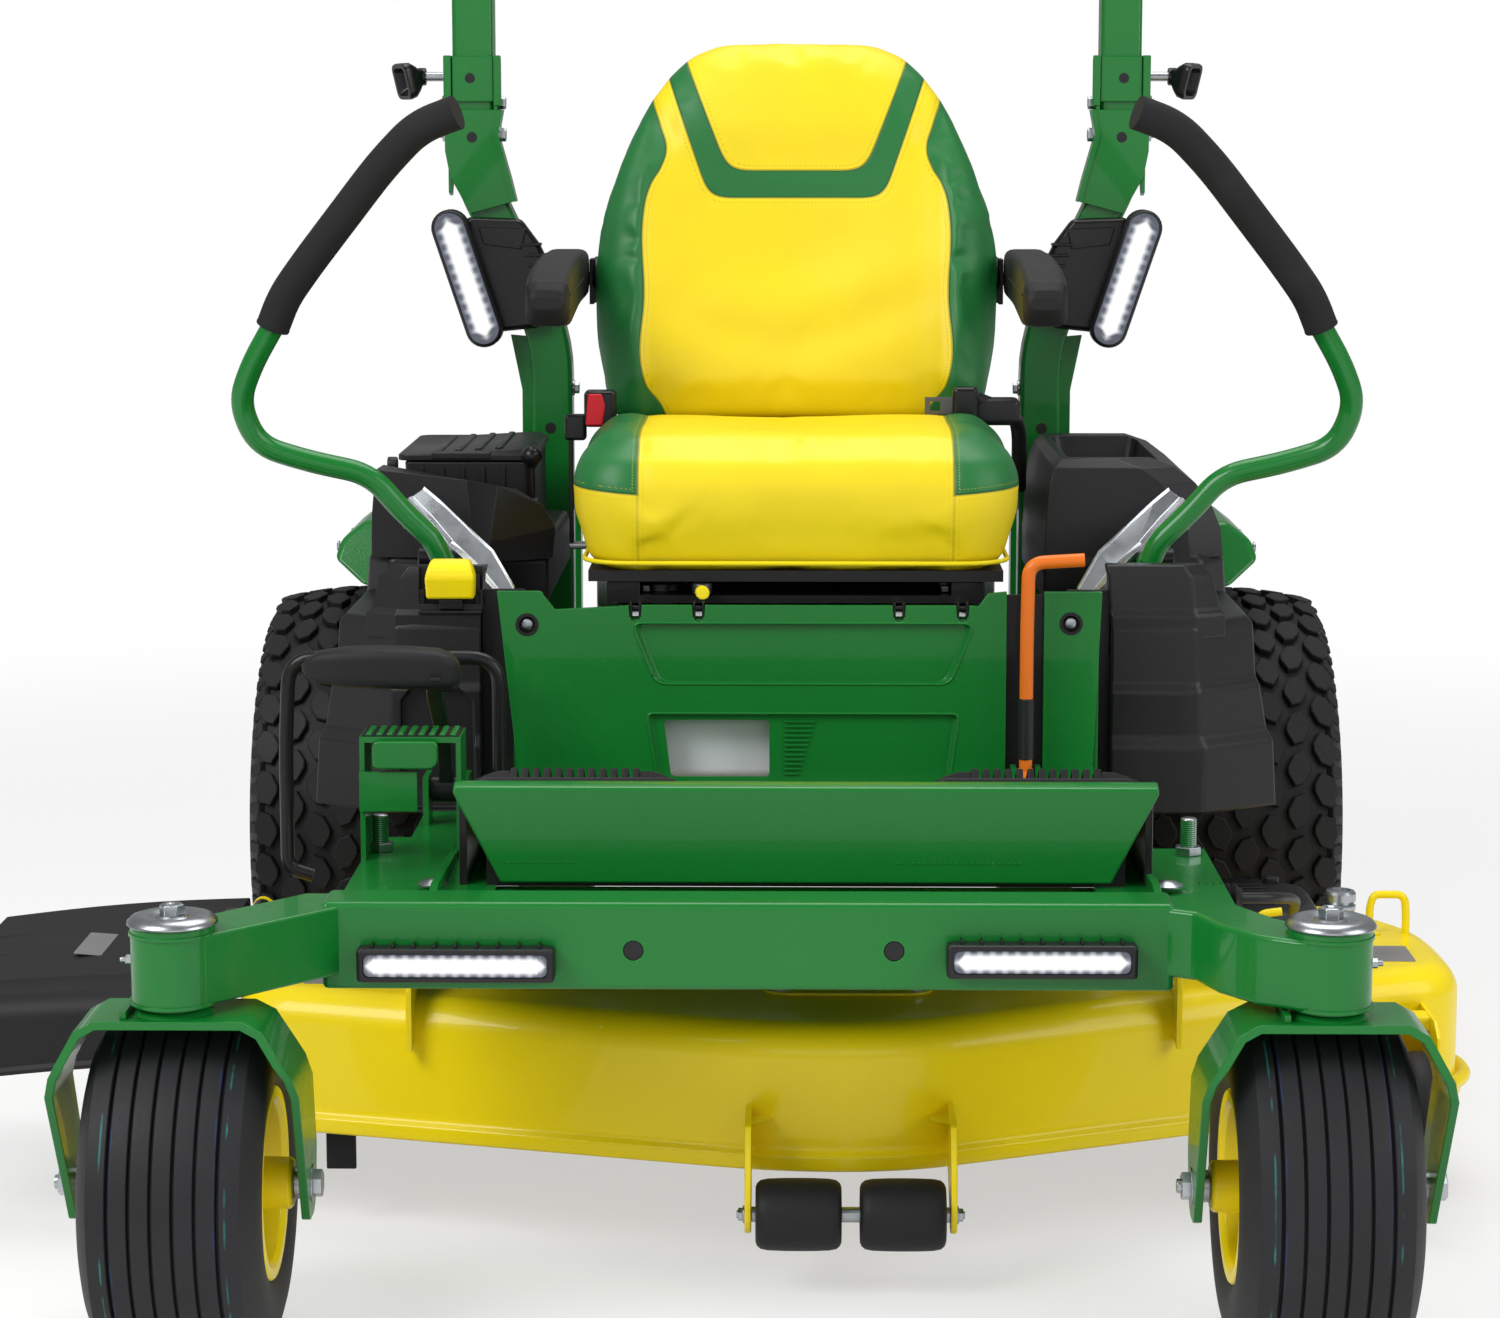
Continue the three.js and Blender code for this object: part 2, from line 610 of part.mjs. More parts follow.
const tilt = (z) => 1060 + (z - 780) * 0.25
const backSkin = prism('x', strip([[1122, 690], [1177, 800], [1262, 1130], [1268, 1150]], 6), -198, 198)
const pan = box(-226, 226, seatFront + 30, 1122, seatPanZ - 4, seatPanZ + 8)
const panRise = prism('x', strip([[1106, seatPanZ + 4], [1118, 676], [1122, 692]], 8), -198, 198)
const armZ = 948
const armY = tilt(armZ) + 130
const ears = sides.map(([, side]) => {
  const [x0, x1] = span(side, backHalf + 7, backHalf + 12)
  const [y0, y1] = [armY - 22, armY + 26]
  const [p0, p1] = span(side, backHalf + 9, backHalf + 46)
  const [c0, c1] = span(side, backHalf - 48, backHalf + 10)
  return fuse(
    box(x0, x1, y0, y1, armZ - 30, armZ + 24),
    rod('x', armY, armZ, 8, p0, p1, 12),
    box(c0, c1, armY + 20, armY + 26, armZ - 30, armZ + 10),
  )
})
const earLinks = box(-backHalf - 10, backHalf + 10, 1208, armY + 26, armZ - 28, armZ - 8)
piece('seat_shell', fuse(pan, panRise, backSkin, ...ears, earLinks), 'black')

const cz = seatPanZ + 9
piece('seat_cushion', loft([
  roundRing(-214, 214, seatFront + 26, 1100, 40, cz),
  roundRing(-238, 238, seatFront + 8, 1108, 50, cz + 22),
  roundRing(-seatHalf, seatHalf, seatFront, 1104, 60, cz + 70),
  roundRing(-seatHalf + 6, seatHalf - 6, seatFront + 8, 1056, 60, cz + 110),
  roundRing(-seatHalf + 40, seatHalf - 40, seatFront + 44, 1030, 60, cushionTop - 12),
  roundRing(-130, 130, seatFront + 120, 980, 60, cushionTop - 4),
]), 'yellow')

const backWidths = [
  [0, backHalf - 60], [40, backHalf - 30], [110, backHalf - 6], [190, backHalf], [270, backHalf - 6],
  [350, backHalf - 33], [405, backHalf - 70], [440, backHalf - 114], [452, backHalf - 148],
]
const backRings = backWidths.map(([rise, half], i) => {
  const z = backTop - 452 + rise
  const edge = i === 0 || i === backWidths.length - 1 ? 22 : 0
  return roundRing(-half, half, tilt(z) + 0 + edge, tilt(z) + 103 - edge, 30, z)
})
piece('seat_backrest', loft(backRings), 'yellow')

for (const [key, side] of sides) {
  const [x0, x1] = span(side, backHalf + 12.5, backHalf + 66)
  const arm = loft([
    [[x0 + 8, 850, 925], [x1 - 8, 850, 925], [x1 - 8, 850, 950], [x0 + 8, 850, 950]],
    [[x0, 866, 905], [x1, 866, 905], [x1, 862, 966], [x0, 862, 966]],
    [[x0, 1000, 918], [x1, 1000, 918], [x1, 1000, 980], [x0, 1000, 980]],
    [[x0, armY - 10, 925], [x1, armY - 10, 925], [x1, armY - 10, 984], [x0, armY - 10, 984]],
    [[x0 + 4, armY + 24, 930], [x1 - 4, armY + 24, 930], [x1 - 4, armY + 24, 968], [x0 + 4, armY + 24, 968]],
  ])
  const [b0, b1] = span(side, backHalf + 12, backHalf + 48)
  piece(`armrest_${key}`, cut(arm, rod('x', armY, armZ, boreFor(8, 12), b0 - 1, b1 + 1, 12)), 'black')
}

const buckleX = -seatHalf - 8
piece('belt_buckle', fuse(
  box(buckleX - 5, buckleX + 5, 1010, 1040, 650.5, 780),
  loft([rectRing(buckleX - 7, buckleX + 7, 1004, 1046, 770), rectRing(buckleX - 7, buckleX + 7, 1002, 1048, 828)]),
  box(buckleX - 7, -seatHalf + 32, 1008, 1042, 788, 828),
  box(buckleX - 5, -228, 1010, 1040, 642.5, 652),
), 'orange')

piece('seat_slide_lever', fuse(
  box(-112, -92, 690, 724, 632, 636.5),
  box(-116, -88, 674, 692, 632, 640.5),
  rod('z', -102, 728, 11, 629.5, 640.5, 14),
), 'yellow')

// ---- parking brake lever ----
const brakeRod = strip([[brakeX, brakeZ + 6], [brakeX, 655], [brakeX + 8, 668], [brakeX + 60, 676]], 12)
piece('brake_lever', cut(
  fuse(
    prism('y', brakeRod, brakeY - 6, brakeY + 6),
    rod('x', brakeY, brakeZ, 12, brakeX - 9, brakeX + 9, 20),
  ),
  rod('x', brakeY, brakeZ, boreFor(5, 12), brakeX - 20, brakeX + 20, 12),
), 'orange')

// ---- deck lift pedal ----
const pedalArm = strip([[pedalY, pedalZ + 6], [pedalY - 22, pedalZ + 50], [478, 560], [462, 590]], 13)
piece('lift_pedal', cut(
  fuse(
    prism('x', pedalArm, pedalX - 9, pedalX + 9),
    rod('x', pedalY, pedalZ, 14, pedalX - 17, pedalX + 17, 20),
    loft([
      [[-497, 436, 578], [-346, 440, 572], [-346, 474, 596], [-497, 470, 602]],
      [[-490, 424, 596], [-360, 424, 600], [-352, 460, 618], [-486, 460, 622]],
    ]),
  ),
  rod('x', pedalY, pedalZ, boreFor(5, 12), pedalX - 30, pedalX + 30, 12),
), 'black')

// ---- roll bar ----
const ht = ropsTube / 2
const bridgeZ = ropsHingeZ - 40
const ropsSides = sides.map(([, side]) => {
  const path = [
    [side * ropsFootX, railTop + gap], [side * ropsFootX, 864], [side * ropsHalf, 1066], [side * ropsHalf, bridgeZ],
  ]
  const [o0, o1] = span(side, ropsHalf + ht + 0.6, ropsHalf + ht + 6)
  const [i0, i1] = span(side, ropsHalf - ht - 6, ropsHalf - ht - 0.6)
  const [c0, c1] = span(side, ropsHalf - ht - 6, ropsHalf + ht + 6)
  const [p0, p1] = span(side, ropsHalf - ht - 16, ropsHalf + ht + 16)
  const plates = fuse(
    box(o0, o1, ropsY - 33, ropsY + 33, bridgeZ - 40, ropsHingeZ + 48),
    box(i0, i1, ropsY - 33, ropsY + 33, bridgeZ - 40, ropsHingeZ + 48),
    box(c0, c1, ropsY - ht, ropsY + ht, bridgeZ - 38, bridgeZ - 2),
    rod('x', ropsY, ropsHingeZ, 8, p0, p1, 12),
  )
  const pinHole = rod('x', ropsY, ropsHingeZ + 32, boreFor(6, 12), ...span(side, ropsHalf, ropsHalf + 60), 12)
  const bore = prism('y', strip([[side * ropsFootX, railTop - 20], ...path.slice(1, 3), [side * ropsHalf, bridgeZ - 40]], ropsTube - 8), ropsY - ht + 4, ropsY + ht - 4)
  return cut(fuse(prism('y', strip(path, ropsTube), ropsY - ht, ropsY + ht), plates), pinHole, bore)
})
piece('rops_lower', fuse(...ropsSides, box(-ropsFootX, ropsFootX, ropsY - ht, ropsY + ht, railTop + gap, railTop + 50)), 'green')

const hoopEnd = ropsHingeZ - 23
const hoopTurn = 130

// The hoop's outline, shrunk on every side by a wall thickness.
function hoopShape(wall, end) {
  const outline = []
  const arc = (cx, r, from, to) => {
    for (let i = 0; i <= 6; i++) {
      const a = from + ((to - from) * i) / 6
      outline.push([cx + r * Math.cos(a), ropsTop - hoopTurn + r * Math.sin(a)])
    }
  }
  const bend = ropsHalf + ht - hoopTurn
  const far = hoopTurn - wall
  const near = hoopTurn - ropsTube + wall
  outline.push([bend + far, end])
  arc(bend, far, 0, Math.PI / 2)
  arc(-bend, far, Math.PI / 2, Math.PI)
  outline.push([-bend - far, end])
  outline.push([-bend - near, end])
  arc(-bend, near, Math.PI, Math.PI / 2)
  arc(bend, near, Math.PI / 2, 0)
  outline.push([bend + near, end])
  return outline
}
const hoopHoles = sides.flatMap(([, side]) => [
  rod('x', ropsY, ropsHingeZ, boreFor(8, 12), ...span(side, ropsHalf - 40, ropsHalf + 40), 12),
  rod('x', ropsY, ropsHingeZ + 32, boreFor(6, 12) + 0.2, ...span(side, ropsHalf - 10, ropsHalf + 40), 12),
])
const hoop = prism('y', hoopShape(0, hoopEnd), ropsY - ht, ropsY + ht)
const hoopCore = prism('y', hoopShape(4, hoopEnd - 5), ropsY - ht + 4, ropsY + ht - 4)
piece('rops_hoop', cut(hoop, hoopCore, ...hoopHoles), 'green')

for (const [key, side] of sides) {
  const at = (a, b) => span(side, ropsHalf + a, ropsHalf + b)
  piece(`rops_pin_${key}`, fuse(
    rod('x', ropsY, ropsHingeZ + 32, 6, ...at(ht + 1.2, ht + 50), 12),
    turned('x', ropsY, ropsHingeZ + 32, [[0, 0], [0, 13], [6, 20], [16, 18], [24, 9], [24, 0]].map(([w, r]) => {
      return [side * (ropsHalf + ht + 42 + w), r]
    }), 18),
  ), 'black')

  // tilted lamp capsule with its housing behind
  const lampTop = [side * 439, 1027]
  const lampBottom = [side * 383, 858]
  const capsule = prism('y', strip([lampTop, lampBottom], 46), ropsY - ht - 52, ropsY - ht - 16)
  const casing = [[415, 1018], [345, 1016], [322, 985], [311, 962], [311, 896], [322, 880], [376, 874], [396, 882]]
  const housing = prism('y', casing.map(([x, z]) => [side * x, z]), ropsY - ht - 20, ropsY - ht - gap)
  piece(`rops_lamp_${key}`, fuse(capsule, housing), 'lens')
}

// ---- front lamps ----
const lampSpans = { left: [-405, -222], right: [140, 316] }
for (const key of Object.keys(lampSpans)) {
  const [x0, x1] = lampSpans[key]
  const z0 = key === 'left' ? 352 : 357
  piece(`light_bar_${key}`, fuse(
    box(x0, x1, beamFront - 22, beamFront - gap, z0, z0 + 32),
    box(x0 + 6, x1 - 6, beamFront - 27, beamFront - 20, z0 + 5, z0 + 27),
  ), 'lens')
}

// ---- cutting deck ----
const deckOutline = [
  [deckLeft, 860], [deckLeft, 490], [-566, 464], [-55, 320], [-10, 309], [112, 309], [158, 332], [400, 441],
  [640, 549], [688, 580], [deckRight, 622], [deckRight, 690], [704, 770], [650, 868], [560, 926], [430, 936],
  [60, 884], [-500, 884],
]

// Moves a closed outline inward by a distance.
function inset(outline, distance) {
  return outline.map((p, i) => {
    const a = outline[(i + outline.length - 1) % outline.length]
    const b = outline[(i + 1) % outline.length]
    const d1 = new THREE.Vector2(p[0] - a[0], p[1] - a[1]).normalize()
    const d2 = new THREE.Vector2(b[0] - p[0], b[1] - p[1]).normalize()
    const n1 = new THREE.Vector2(-d1.y, d1.x)
    const n2 = new THREE.Vector2(-d2.y, d2.x)
    const mid = n1.clone().add(n2).normalize()
    const reach = distance / Math.max(mid.dot(n1), 0.5)
    return [p[0] + mid.x * reach, p[1] + mid.y * reach]
  })
}

const spindles = [['left', -360, 640], ['centre', 55, 530], ['right', 470, 712]]
const hubRadius = 17
const rollerX = 55
const rollerY = 240
const rollerZ = 81.5
const rollerParts = [
  box(rollerX - 104, rollerX - 97, rollerY - 16, 324, 62, 172),
  box(rollerX + 97, rollerX + 104, rollerY - 16, 336, 62, 172),
  rod('x', rollerY, rollerZ, 8, rollerX - 112, rollerX + 112, 12),
]
const hangers = sides.map(([, side]) => {
  const x = side * 392
  const front = side < 0 ? 394 : 416
  const fin = [[front, 200], [front, 268], [430, 294], [480, 294], [510, deckTop - 8], [452, deckTop - 8], [452, 200]]
  return prism('x', fin, x - 3, x + 3)
})
const gaugeX = 645
const gaugeY = 464
const gaugeZ = 120
const gaugeRadius = 67
const deckRows = [
  prism('z', inset(deckOutline, -7), deckBottom, deckBottom + 6),
  prism('z', deckOutline, deckBottom, deckTop - 14),
  loft([deckOutline.map((p) => [...p, deckTop - 15]), inset(deckOutline, 9).map((p) => [...p, deckTop])]),
]
const deckInside = prism('z', inset(deckOutline, 5), deckBottom - 10, deckTop - 5)
const shaftHoles = spindles.map(([, x, y]) => rod('z', x, y, boreFor(hubRadius), deckTop - 20, deckTop + 20))
const deckAddOns = [
  ...rollerParts,
  ...hangers,
  // washout fitting and the pull handle with its rod
  rod('z', 580, 600, 13, deckTop - 4, 300, 14),
  rod('z', 580, 600, 19, 300, 330, 6),
  box(484, 496, 560, 572, deckTop - 4, 318),
  box(632, 638, 734, 746, deckTop - 4, 298),
  box(670, 676, 734, 746, deckTop - 6, 298),
  box(632, 676, 734, 746, 290, 298),
  // bumper bar on the outer corner
  box(706, 732, 584, 680, 112, 130),
  // gauge wheel bracket
  box(gaugeX - 26, gaugeX - 21, gaugeY - 18, 546, gaugeZ - 18, 218),
  rod('x', gaugeY, gaugeZ, 7, gaugeX - 24, gaugeX + 20, 12),
  rod('x', gaugeY, gaugeZ, 12, gaugeX + 17, gaugeX + 24, 6),
  // chute hinge ears with their rod
  box(deckLeft - 24, deckLeft + 14, 494, 500, 236, 274),
  box(deckLeft - 24, deckLeft + 14, 800, 806, 236, 274),
  rod('y', deckLeft - 14, 262, 5, 496, 804, 12),
]
const deckBody = cut(
  fuse(...deckRows).subtract(deckInside),
  ...shaftHoles,
  box(deckLeft - 20, deckLeft + 8, 520, 780, 120, 226),
)
const rollerBars = fuse(deckBody, ...deckAddOns)
piece('deck_shell', rollerBars, 'yellow')

for (const [name, x, y] of spindles) {
  const n = 18
  piece(`spindle_${name}`, fuse(
    rod('z', x, y, hubRadius, 128, deckTop + 20),
    rod('z', x, y, 34, deckTop - 40, deckTop - 6, 12),
    turned('z', x, y, [[256, 0], [256, 66], [260, 66], [266, 56], [274, 56], [280, 66], [284, 66], [284, 0]], n),
    prism('z', [[x - bladeReach, y - 26], [x + bladeReach, y - 26], [x + bladeReach, y + 26], [x - bladeReach, y + 26]], 128, 134),
  ), 'steel')
}

for (const [key, side] of sides) {
  const c = rollerX + side * 51
  const profile = [[c - 42, boreFor(8, 12)], [c - 42, 30], [c - 36, 35.5], [c + 36, 35.5], [c + 42, 30], [c + 42, boreFor(8, 12)], [c - 42, boreFor(8, 12)]]
  piece(`deck_roller_${key}`, turned('x', rollerY, rollerZ, profile, 20), 'black')
}

const gaugeBore = boreFor(7, 12)
piece('gauge_wheel', turned('x', gaugeY, gaugeZ, [
  [gaugeX - 17, gaugeBore], [gaugeX - 17, gaugeRadius - 9], [gaugeX - 10, gaugeRadius], [gaugeX + 8, gaugeRadius],
  [gaugeX + 15, gaugeRadius - 9], [gaugeX + 15, gaugeBore], [gaugeX - 17, gaugeBore],
], 28), 'black')

const chuteIn = deckLeft - 14
const chuteOut = deckLeft - 14 - chuteReach
const chuteShell = cut(
  loft([
    [[chuteIn - 24, 420, 262], [chuteIn - 24, 870, 262], [chuteIn - 24, 870, 210], [chuteIn - 24, 420, 186]],
    [[chuteOut, 452, 240], [chuteOut, 860, 240], [chuteOut, 860, 170], [chuteOut, 452, 150]],
  ]),
  loft([
    [[chuteIn - 10, 426, 256], [chuteIn - 10, 864, 256], [chuteIn - 10, 864, 150], [chuteIn - 10, 426, 130]],
    [[chuteOut + 6, 458, 234], [chuteOut + 6, 854, 234], [chuteOut + 6, 854, 130], [chuteOut + 6, 458, 120]],
  ]),
)
const chuteKnuckle = rod('y', chuteIn, 262, 11, 503, 797, 18)
const chuteLeaf = box(chuteIn - 40, chuteIn - 6, 503, 797, 257, 264)
piece('discharge_chute', cut(
  fuse(chuteShell, chuteKnuckle, chuteLeaf),
  rod('y', chuteIn, 262, boreFor(5, 12), 480, 820, 12),
), 'black')

// ---- engine and rear guard ----
const engineY0 = ropsY + 42
const engineY1 = railEnd - 15
piece('engine_block', fuse(
  box(-180, 180, engineY0 + 10, engineY1, railTop + gap, 610),
  rod('x', (engineY0 + engineY1) / 2, 520, 70, -262, 262, 18),
), 'steel')
const mid = (engineY0 + engineY1) / 2
const shroudCore = loft([
  roundRing(-204, 204, engineY0 + 6, engineY1 + 4, 54, 600),
  roundRing(-204, 204, engineY0 + 6, engineY1 + 4, 64, 726),
  roundRing(-172, 172, engineY0 + 26, engineY1 - 16, 74, 784),
])
piece('engine_shroud', cut(loft([
  roundRing(-210, 210, engineY0, engineY1 + 10, 60, 610.5),
  roundRing(-210, 210, engineY0, engineY1 + 10, 70, 730),
  roundRing(-180, 180, engineY0 + 18, engineY1 - 8, 80, 790),
  roundRing(-90, 90, mid - 80, mid + 80, 70, 832),
]), shroudCore), 'black')

piece('rear_guard', fuse(
  box(-railOut, railOut, railEnd + gap, railEnd + 10, 330, 420),
  box(-railOut, -railOut + 40, railEnd + 5, tailY, 380, 420),
  box(railOut - 40, railOut, railEnd + 5, tailY, 380, 420),
  box(-railOut, railOut, tailY - 40, tailY, 380, 640).subtract(box(-railOut + 40, railOut - 40, tailY - 60, tailY + 20, 425, 600)),
  box(-60, 60, railEnd + 5, tailY, 330, 336).subtract(rod('z', 0, tailY - 34, 9.5, 320, 345, 20)),
), 'green')

const bounds = new THREE.Box3().setFromObject(machine)
const centre = bounds.getCenter(new THREE.Vector3())
machine.position.set(-centre.x, -centre.y, -bounds.min.z)
machine.updateMatrixWorld(true)

export default machine
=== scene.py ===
import json
import math

import bmesh
import bpy
from mathutils import Matrix, Vector


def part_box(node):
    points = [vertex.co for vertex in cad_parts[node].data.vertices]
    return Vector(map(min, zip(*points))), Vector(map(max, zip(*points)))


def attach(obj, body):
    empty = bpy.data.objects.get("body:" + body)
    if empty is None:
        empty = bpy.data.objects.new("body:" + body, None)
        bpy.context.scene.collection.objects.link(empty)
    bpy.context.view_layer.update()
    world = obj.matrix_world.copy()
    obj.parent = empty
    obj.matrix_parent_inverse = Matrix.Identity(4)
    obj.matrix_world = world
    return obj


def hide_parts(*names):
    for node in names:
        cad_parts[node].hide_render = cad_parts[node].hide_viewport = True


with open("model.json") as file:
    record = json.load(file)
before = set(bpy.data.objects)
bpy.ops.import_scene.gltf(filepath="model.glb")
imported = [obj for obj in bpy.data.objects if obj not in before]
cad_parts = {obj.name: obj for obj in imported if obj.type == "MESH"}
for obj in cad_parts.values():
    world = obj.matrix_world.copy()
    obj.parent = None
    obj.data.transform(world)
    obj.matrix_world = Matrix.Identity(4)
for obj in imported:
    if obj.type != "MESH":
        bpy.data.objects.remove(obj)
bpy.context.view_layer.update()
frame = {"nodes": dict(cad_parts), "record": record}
nodes = frame["nodes"]
scene = bpy.context.scene
bodyOf = {node: body for body, members in frame["record"]["behaviour"]["bodies"].items()
          for node in members}

# Pieces are drawn in millimetres from one datum: the centre plane, the caster pivots and the ground.
seatLow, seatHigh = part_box("seat_cushion")
axleLow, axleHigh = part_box("front_axle")
barrelRadius = 38
datum = Vector(((seatLow.x + seatHigh.x) / 2, axleLow.y + barrelRadius * 0.001, 0))
toRow = Matrix.Translation(datum) @ Matrix.Scale(0.001, 4)
fromRow = toRow.inverted()
sides = (("left", -1), ("right", 1))


def boxOf(node):
    low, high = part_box(node)
    return fromRow @ low, fromRow @ high


def middleOf(node):
    low, high = boxOf(node)
    return (low + high) / 2


# ---- shader tools ----
def tone(red, green, blue):  # screen values 0-255 to linear light
    return tuple((v / 255 / 12.92) if v < 10.3 else ((v / 255 + 0.055) / 1.055) ** 2.4
                 for v in (red, green, blue))


def shade(colour, share):
    return tuple(min(1, v * share) for v in colour)


class Wire:
    # an output socket that can be added, multiplied and compared like a number
    def __init__(self, look, socket):
        self.look = look
        self.socket = socket

    def math(self, operation, *values):
        return self.look.node("ShaderNodeMath", {"operation": operation}, dict(enumerate(values)))

    def __add__(self, other):
        return self.math("ADD", self, other)

    def __radd__(self, other):
        return self.math("ADD", other, self)

    def __sub__(self, other):
        return self.math("SUBTRACT", self, other)

    def __rsub__(self, other):
        return self.math("SUBTRACT", other, self)

    def __mul__(self, other):
        return self.math("MULTIPLY", self, other)

    def __rmul__(self, other):
        return self.math("MULTIPLY", other, self)

    def __truediv__(self, other):
        return self.math("DIVIDE", self, other)

    def __rtruediv__(self, other):
        return self.math("DIVIDE", other, self)

    def __abs__(self):
        return self.math("ABSOLUTE", self)

    def least(self, other):
        return self.math("MINIMUM", self, other)

    def most(self, other):
        return self.math("MAXIMUM", self, other)


class Look:
    # one material: a Principled shader and the nodes that feed it
    def __init__(self, name, slot, fixed=None):
        self.slot = slot
        self.material = bpy.data.materials.new(name)
        self.material.use_nodes = True
        self.tree = self.material.node_tree
        self.tree.nodes.clear()
        self.shader = self.tree.nodes.new("ShaderNodeBsdfPrincipled")
        ending = self.tree.nodes.new("ShaderNodeOutputMaterial")
        self.tree.links.new(self.shader.outputs[0], ending.inputs[0])
        for socket, value in (fixed or {}).items():
            self.feed(self.shader.inputs[socket], value)
        self.place = self.node("ShaderNodeTexCoord", output="Object")

    def feed(self, socket, value):
        if isinstance(value, Wire):
            self.tree.links.new(value.socket, socket)
        elif isinstance(value, tuple):
            socket.default_value = value if len(value) == len(socket.default_value) else (*value, 1)
        else:
            socket.default_value = value

    def node(self, kind, settings=None, inputs=None, output=0):
        made = self.tree.nodes.new(kind)
        for key, value in (settings or {}).items():
            if key == "curve":
                points = made.mapping.curves[0].points
                while len(points) < len(value):
                    points.new(0.5, 0.5)
                for point, spot in zip(points, value):
                    point.location = spot
                made.mapping.update()
            else:
                setattr(made, key, value)
        for key, value in (inputs or {}).items():
            self.feed(made.inputs[key], value)
        return Wire(self, made.outputs[output])

    def set(self, socket, value):
        self.feed(self.shader.inputs[socket], value)
        return self

    def noise(self, scale, detail=2):
        return self.node("ShaderNodeTexNoise", None, {"Vector": self.place, "Scale": scale,
                "Detail": detail})

    def cells(self, scale, output="Distance"):
        return self.node("ShaderNodeTexVoronoi", None, {"Vector": self.place, "Scale": scale}, output)

    def mix(self, share, first, second):
        return self.node("ShaderNodeMix", {"data_type": "RGBA"}, {0: share, 6: first, 7: second}, 2)

    def step(self, value, low, high):
        return self.node("ShaderNodeMapRange", {"interpolation_type": "SMOOTHSTEP"},
                         {0: value, 1: low, 2: high})

    def bump(self, height, depth, strength=1.0):
        return self.node("ShaderNodeBump", None, {"Height": height, "Distance": depth,
                "Strength": strength})

    def axes(self):
        split = self.node("ShaderNodeSeparateXYZ", None, {0: self.place})
        return [Wire(self, output) for output in split.socket.node.outputs]

    def moved(self, spot):
        return self.node("ShaderNodeVectorMath", {"operation": "SUBTRACT"}, {0: self.place, 1: tuple(spot)})


# ---- finishes ----
def paint(name, slot, colour, roughness=0.3, coat=0.5):
    look = Look(name, slot, {"Coat Roughness": 0.05, "Coat Weight": coat * 0.6, "Specular IOR Level": 0.25})
    drift = look.noise(4.0, 3)
    dust = look.step(look.noise(60.0, 4), 0.55, 0.75)
    look.set("Base Color", look.mix(drift, shade(colour, 0.9), shade(colour, 1.06)))
    look.set("Roughness", roughness + 0.1 * dust)
    orangePeel = 0.00012
    return look.set("Normal", look.bump(look.noise(420.0, 1), orangePeel))


def plastic(name, slot, colour, roughness=0.5, grain=900.0, depth=0.00015):
    look = Look(name, slot, {"Specular IOR Level": 0.35})
    speck = look.cells(grain)
    drift = look.noise(6.0, 4)
    look.set("Base Color", look.mix(drift, shade(colour, 0.8), shade(colour, 1.2)))
    look.set("Roughness", roughness - 0.12 * look.step(drift, 0.45, 0.8))
    return look.set("Normal", look.bump(speck, depth, 0.6))


def metal(name, slot, colour, roughness=0.3, brush=(40.0, 300.0), depth=0.00008):
    look = Look(name, slot, {"Metallic": 1.0})
    spangle = look.cells(brush[0], output="Color")
    streak = look.noise(brush[1], 3)
    mottled = look.mix(0.85, spangle, (0.5, 0.5, 0.5))
    share = look.node("ShaderNodeRGBToBW", None, {0: mottled})
    look.set("Base Color", look.mix(share, shade(colour, 0.78), shade(colour, 1.1)))
    look.set("Roughness", roughness + 0.2 * (streak - 0.5))
    return look.set("Normal", look.bump(streak, depth, 0.5))


def rubber(name, slot, colour, roughness=0.72, scale=220.0, depth=0.0003):
    look = Look(name, slot, {"Specular IOR Level": 0.3})
    grit = look.noise(scale, 5)
    dust = look.step(look.noise(9.0, 5), 0.5, 0.8)
    look.set("Base Color", look.mix(dust * 0.5, shade(colour, 0.85), shade(colour, 1.7)))
    look.set("Roughness", roughness + 0.15 * (grit - 0.5))
    return look.set("Normal", look.bump(grit, depth, 0.7))


greenTone = tone(14, 112, 40)
yellowTone = tone(238, 212, 8)
seatYellow = tone(243, 216, 2)
seatGreen = tone(22, 112, 50)

greenPaint = paint("green_powder_coat", "green_paint", greenTone)
yellowPaint = paint("yellow_deck_paint", "yellow_paint", yellowTone, 0.36, coat=0.35)
orangePaint = paint("orange_lever_paint", "orange_paint", tone(226, 112, 26), 0.38, coat=0.3)
blackPlastic = plastic("black_moulded_plastic", "black_plastic", tone(26, 25, 28), 0.42)
smoothPlastic = plastic("black_smooth_plastic", "black_plastic", tone(20, 20, 22), 0.28, 1500.0, 0.00004)
blackPaint = paint("black_frame_paint", "black_plastic", tone(22, 21, 23), 0.36, coat=0.2)
tankPlastic = plastic("white_tank_plastic", "tank_plastic", tone(228, 231, 238), 0.5, 500.0, 0.0001)
plateBlank = plastic("grey_blank_plate", "soft_rubber", tone(120, 120, 122), 0.5, 600.0, 0.00004)
redPlastic = plastic("red_button_plastic", "black_plastic", tone(208, 24, 40), 0.35, 1500.0, 0.00003)
yellowPlastic = plastic("yellow_moulded_plastic", "yellow_paint", tone(246, 214, 12), 0.42, 1100.0, 0.00008)
zincPlate = metal("zinc_plate", "zinc", tone(176, 180, 184), 0.3, (26.0, 60.0), 0.00002)
darkSteel = metal("dark_steel", "steel", tone(104, 104, 108), 0.42, (120.0, 500.0))
castAlloy = metal("cast_alloy", "alloy", tone(150, 152, 155), 0.5, (500.0, 260.0), 0.0004)
softRubber = rubber("pad_rubber", "soft_rubber", tone(27, 26, 29), 0.56, 500.0, 0.0002)
tyreRubber = rubber("tyre_rubber", "tyre_rubber", tone(26, 26, 28), 0.62)
foamGrip = rubber("grip_foam", "soft_rubber", tone(31, 31, 33), 0.8, 1400.0, 0.0007)


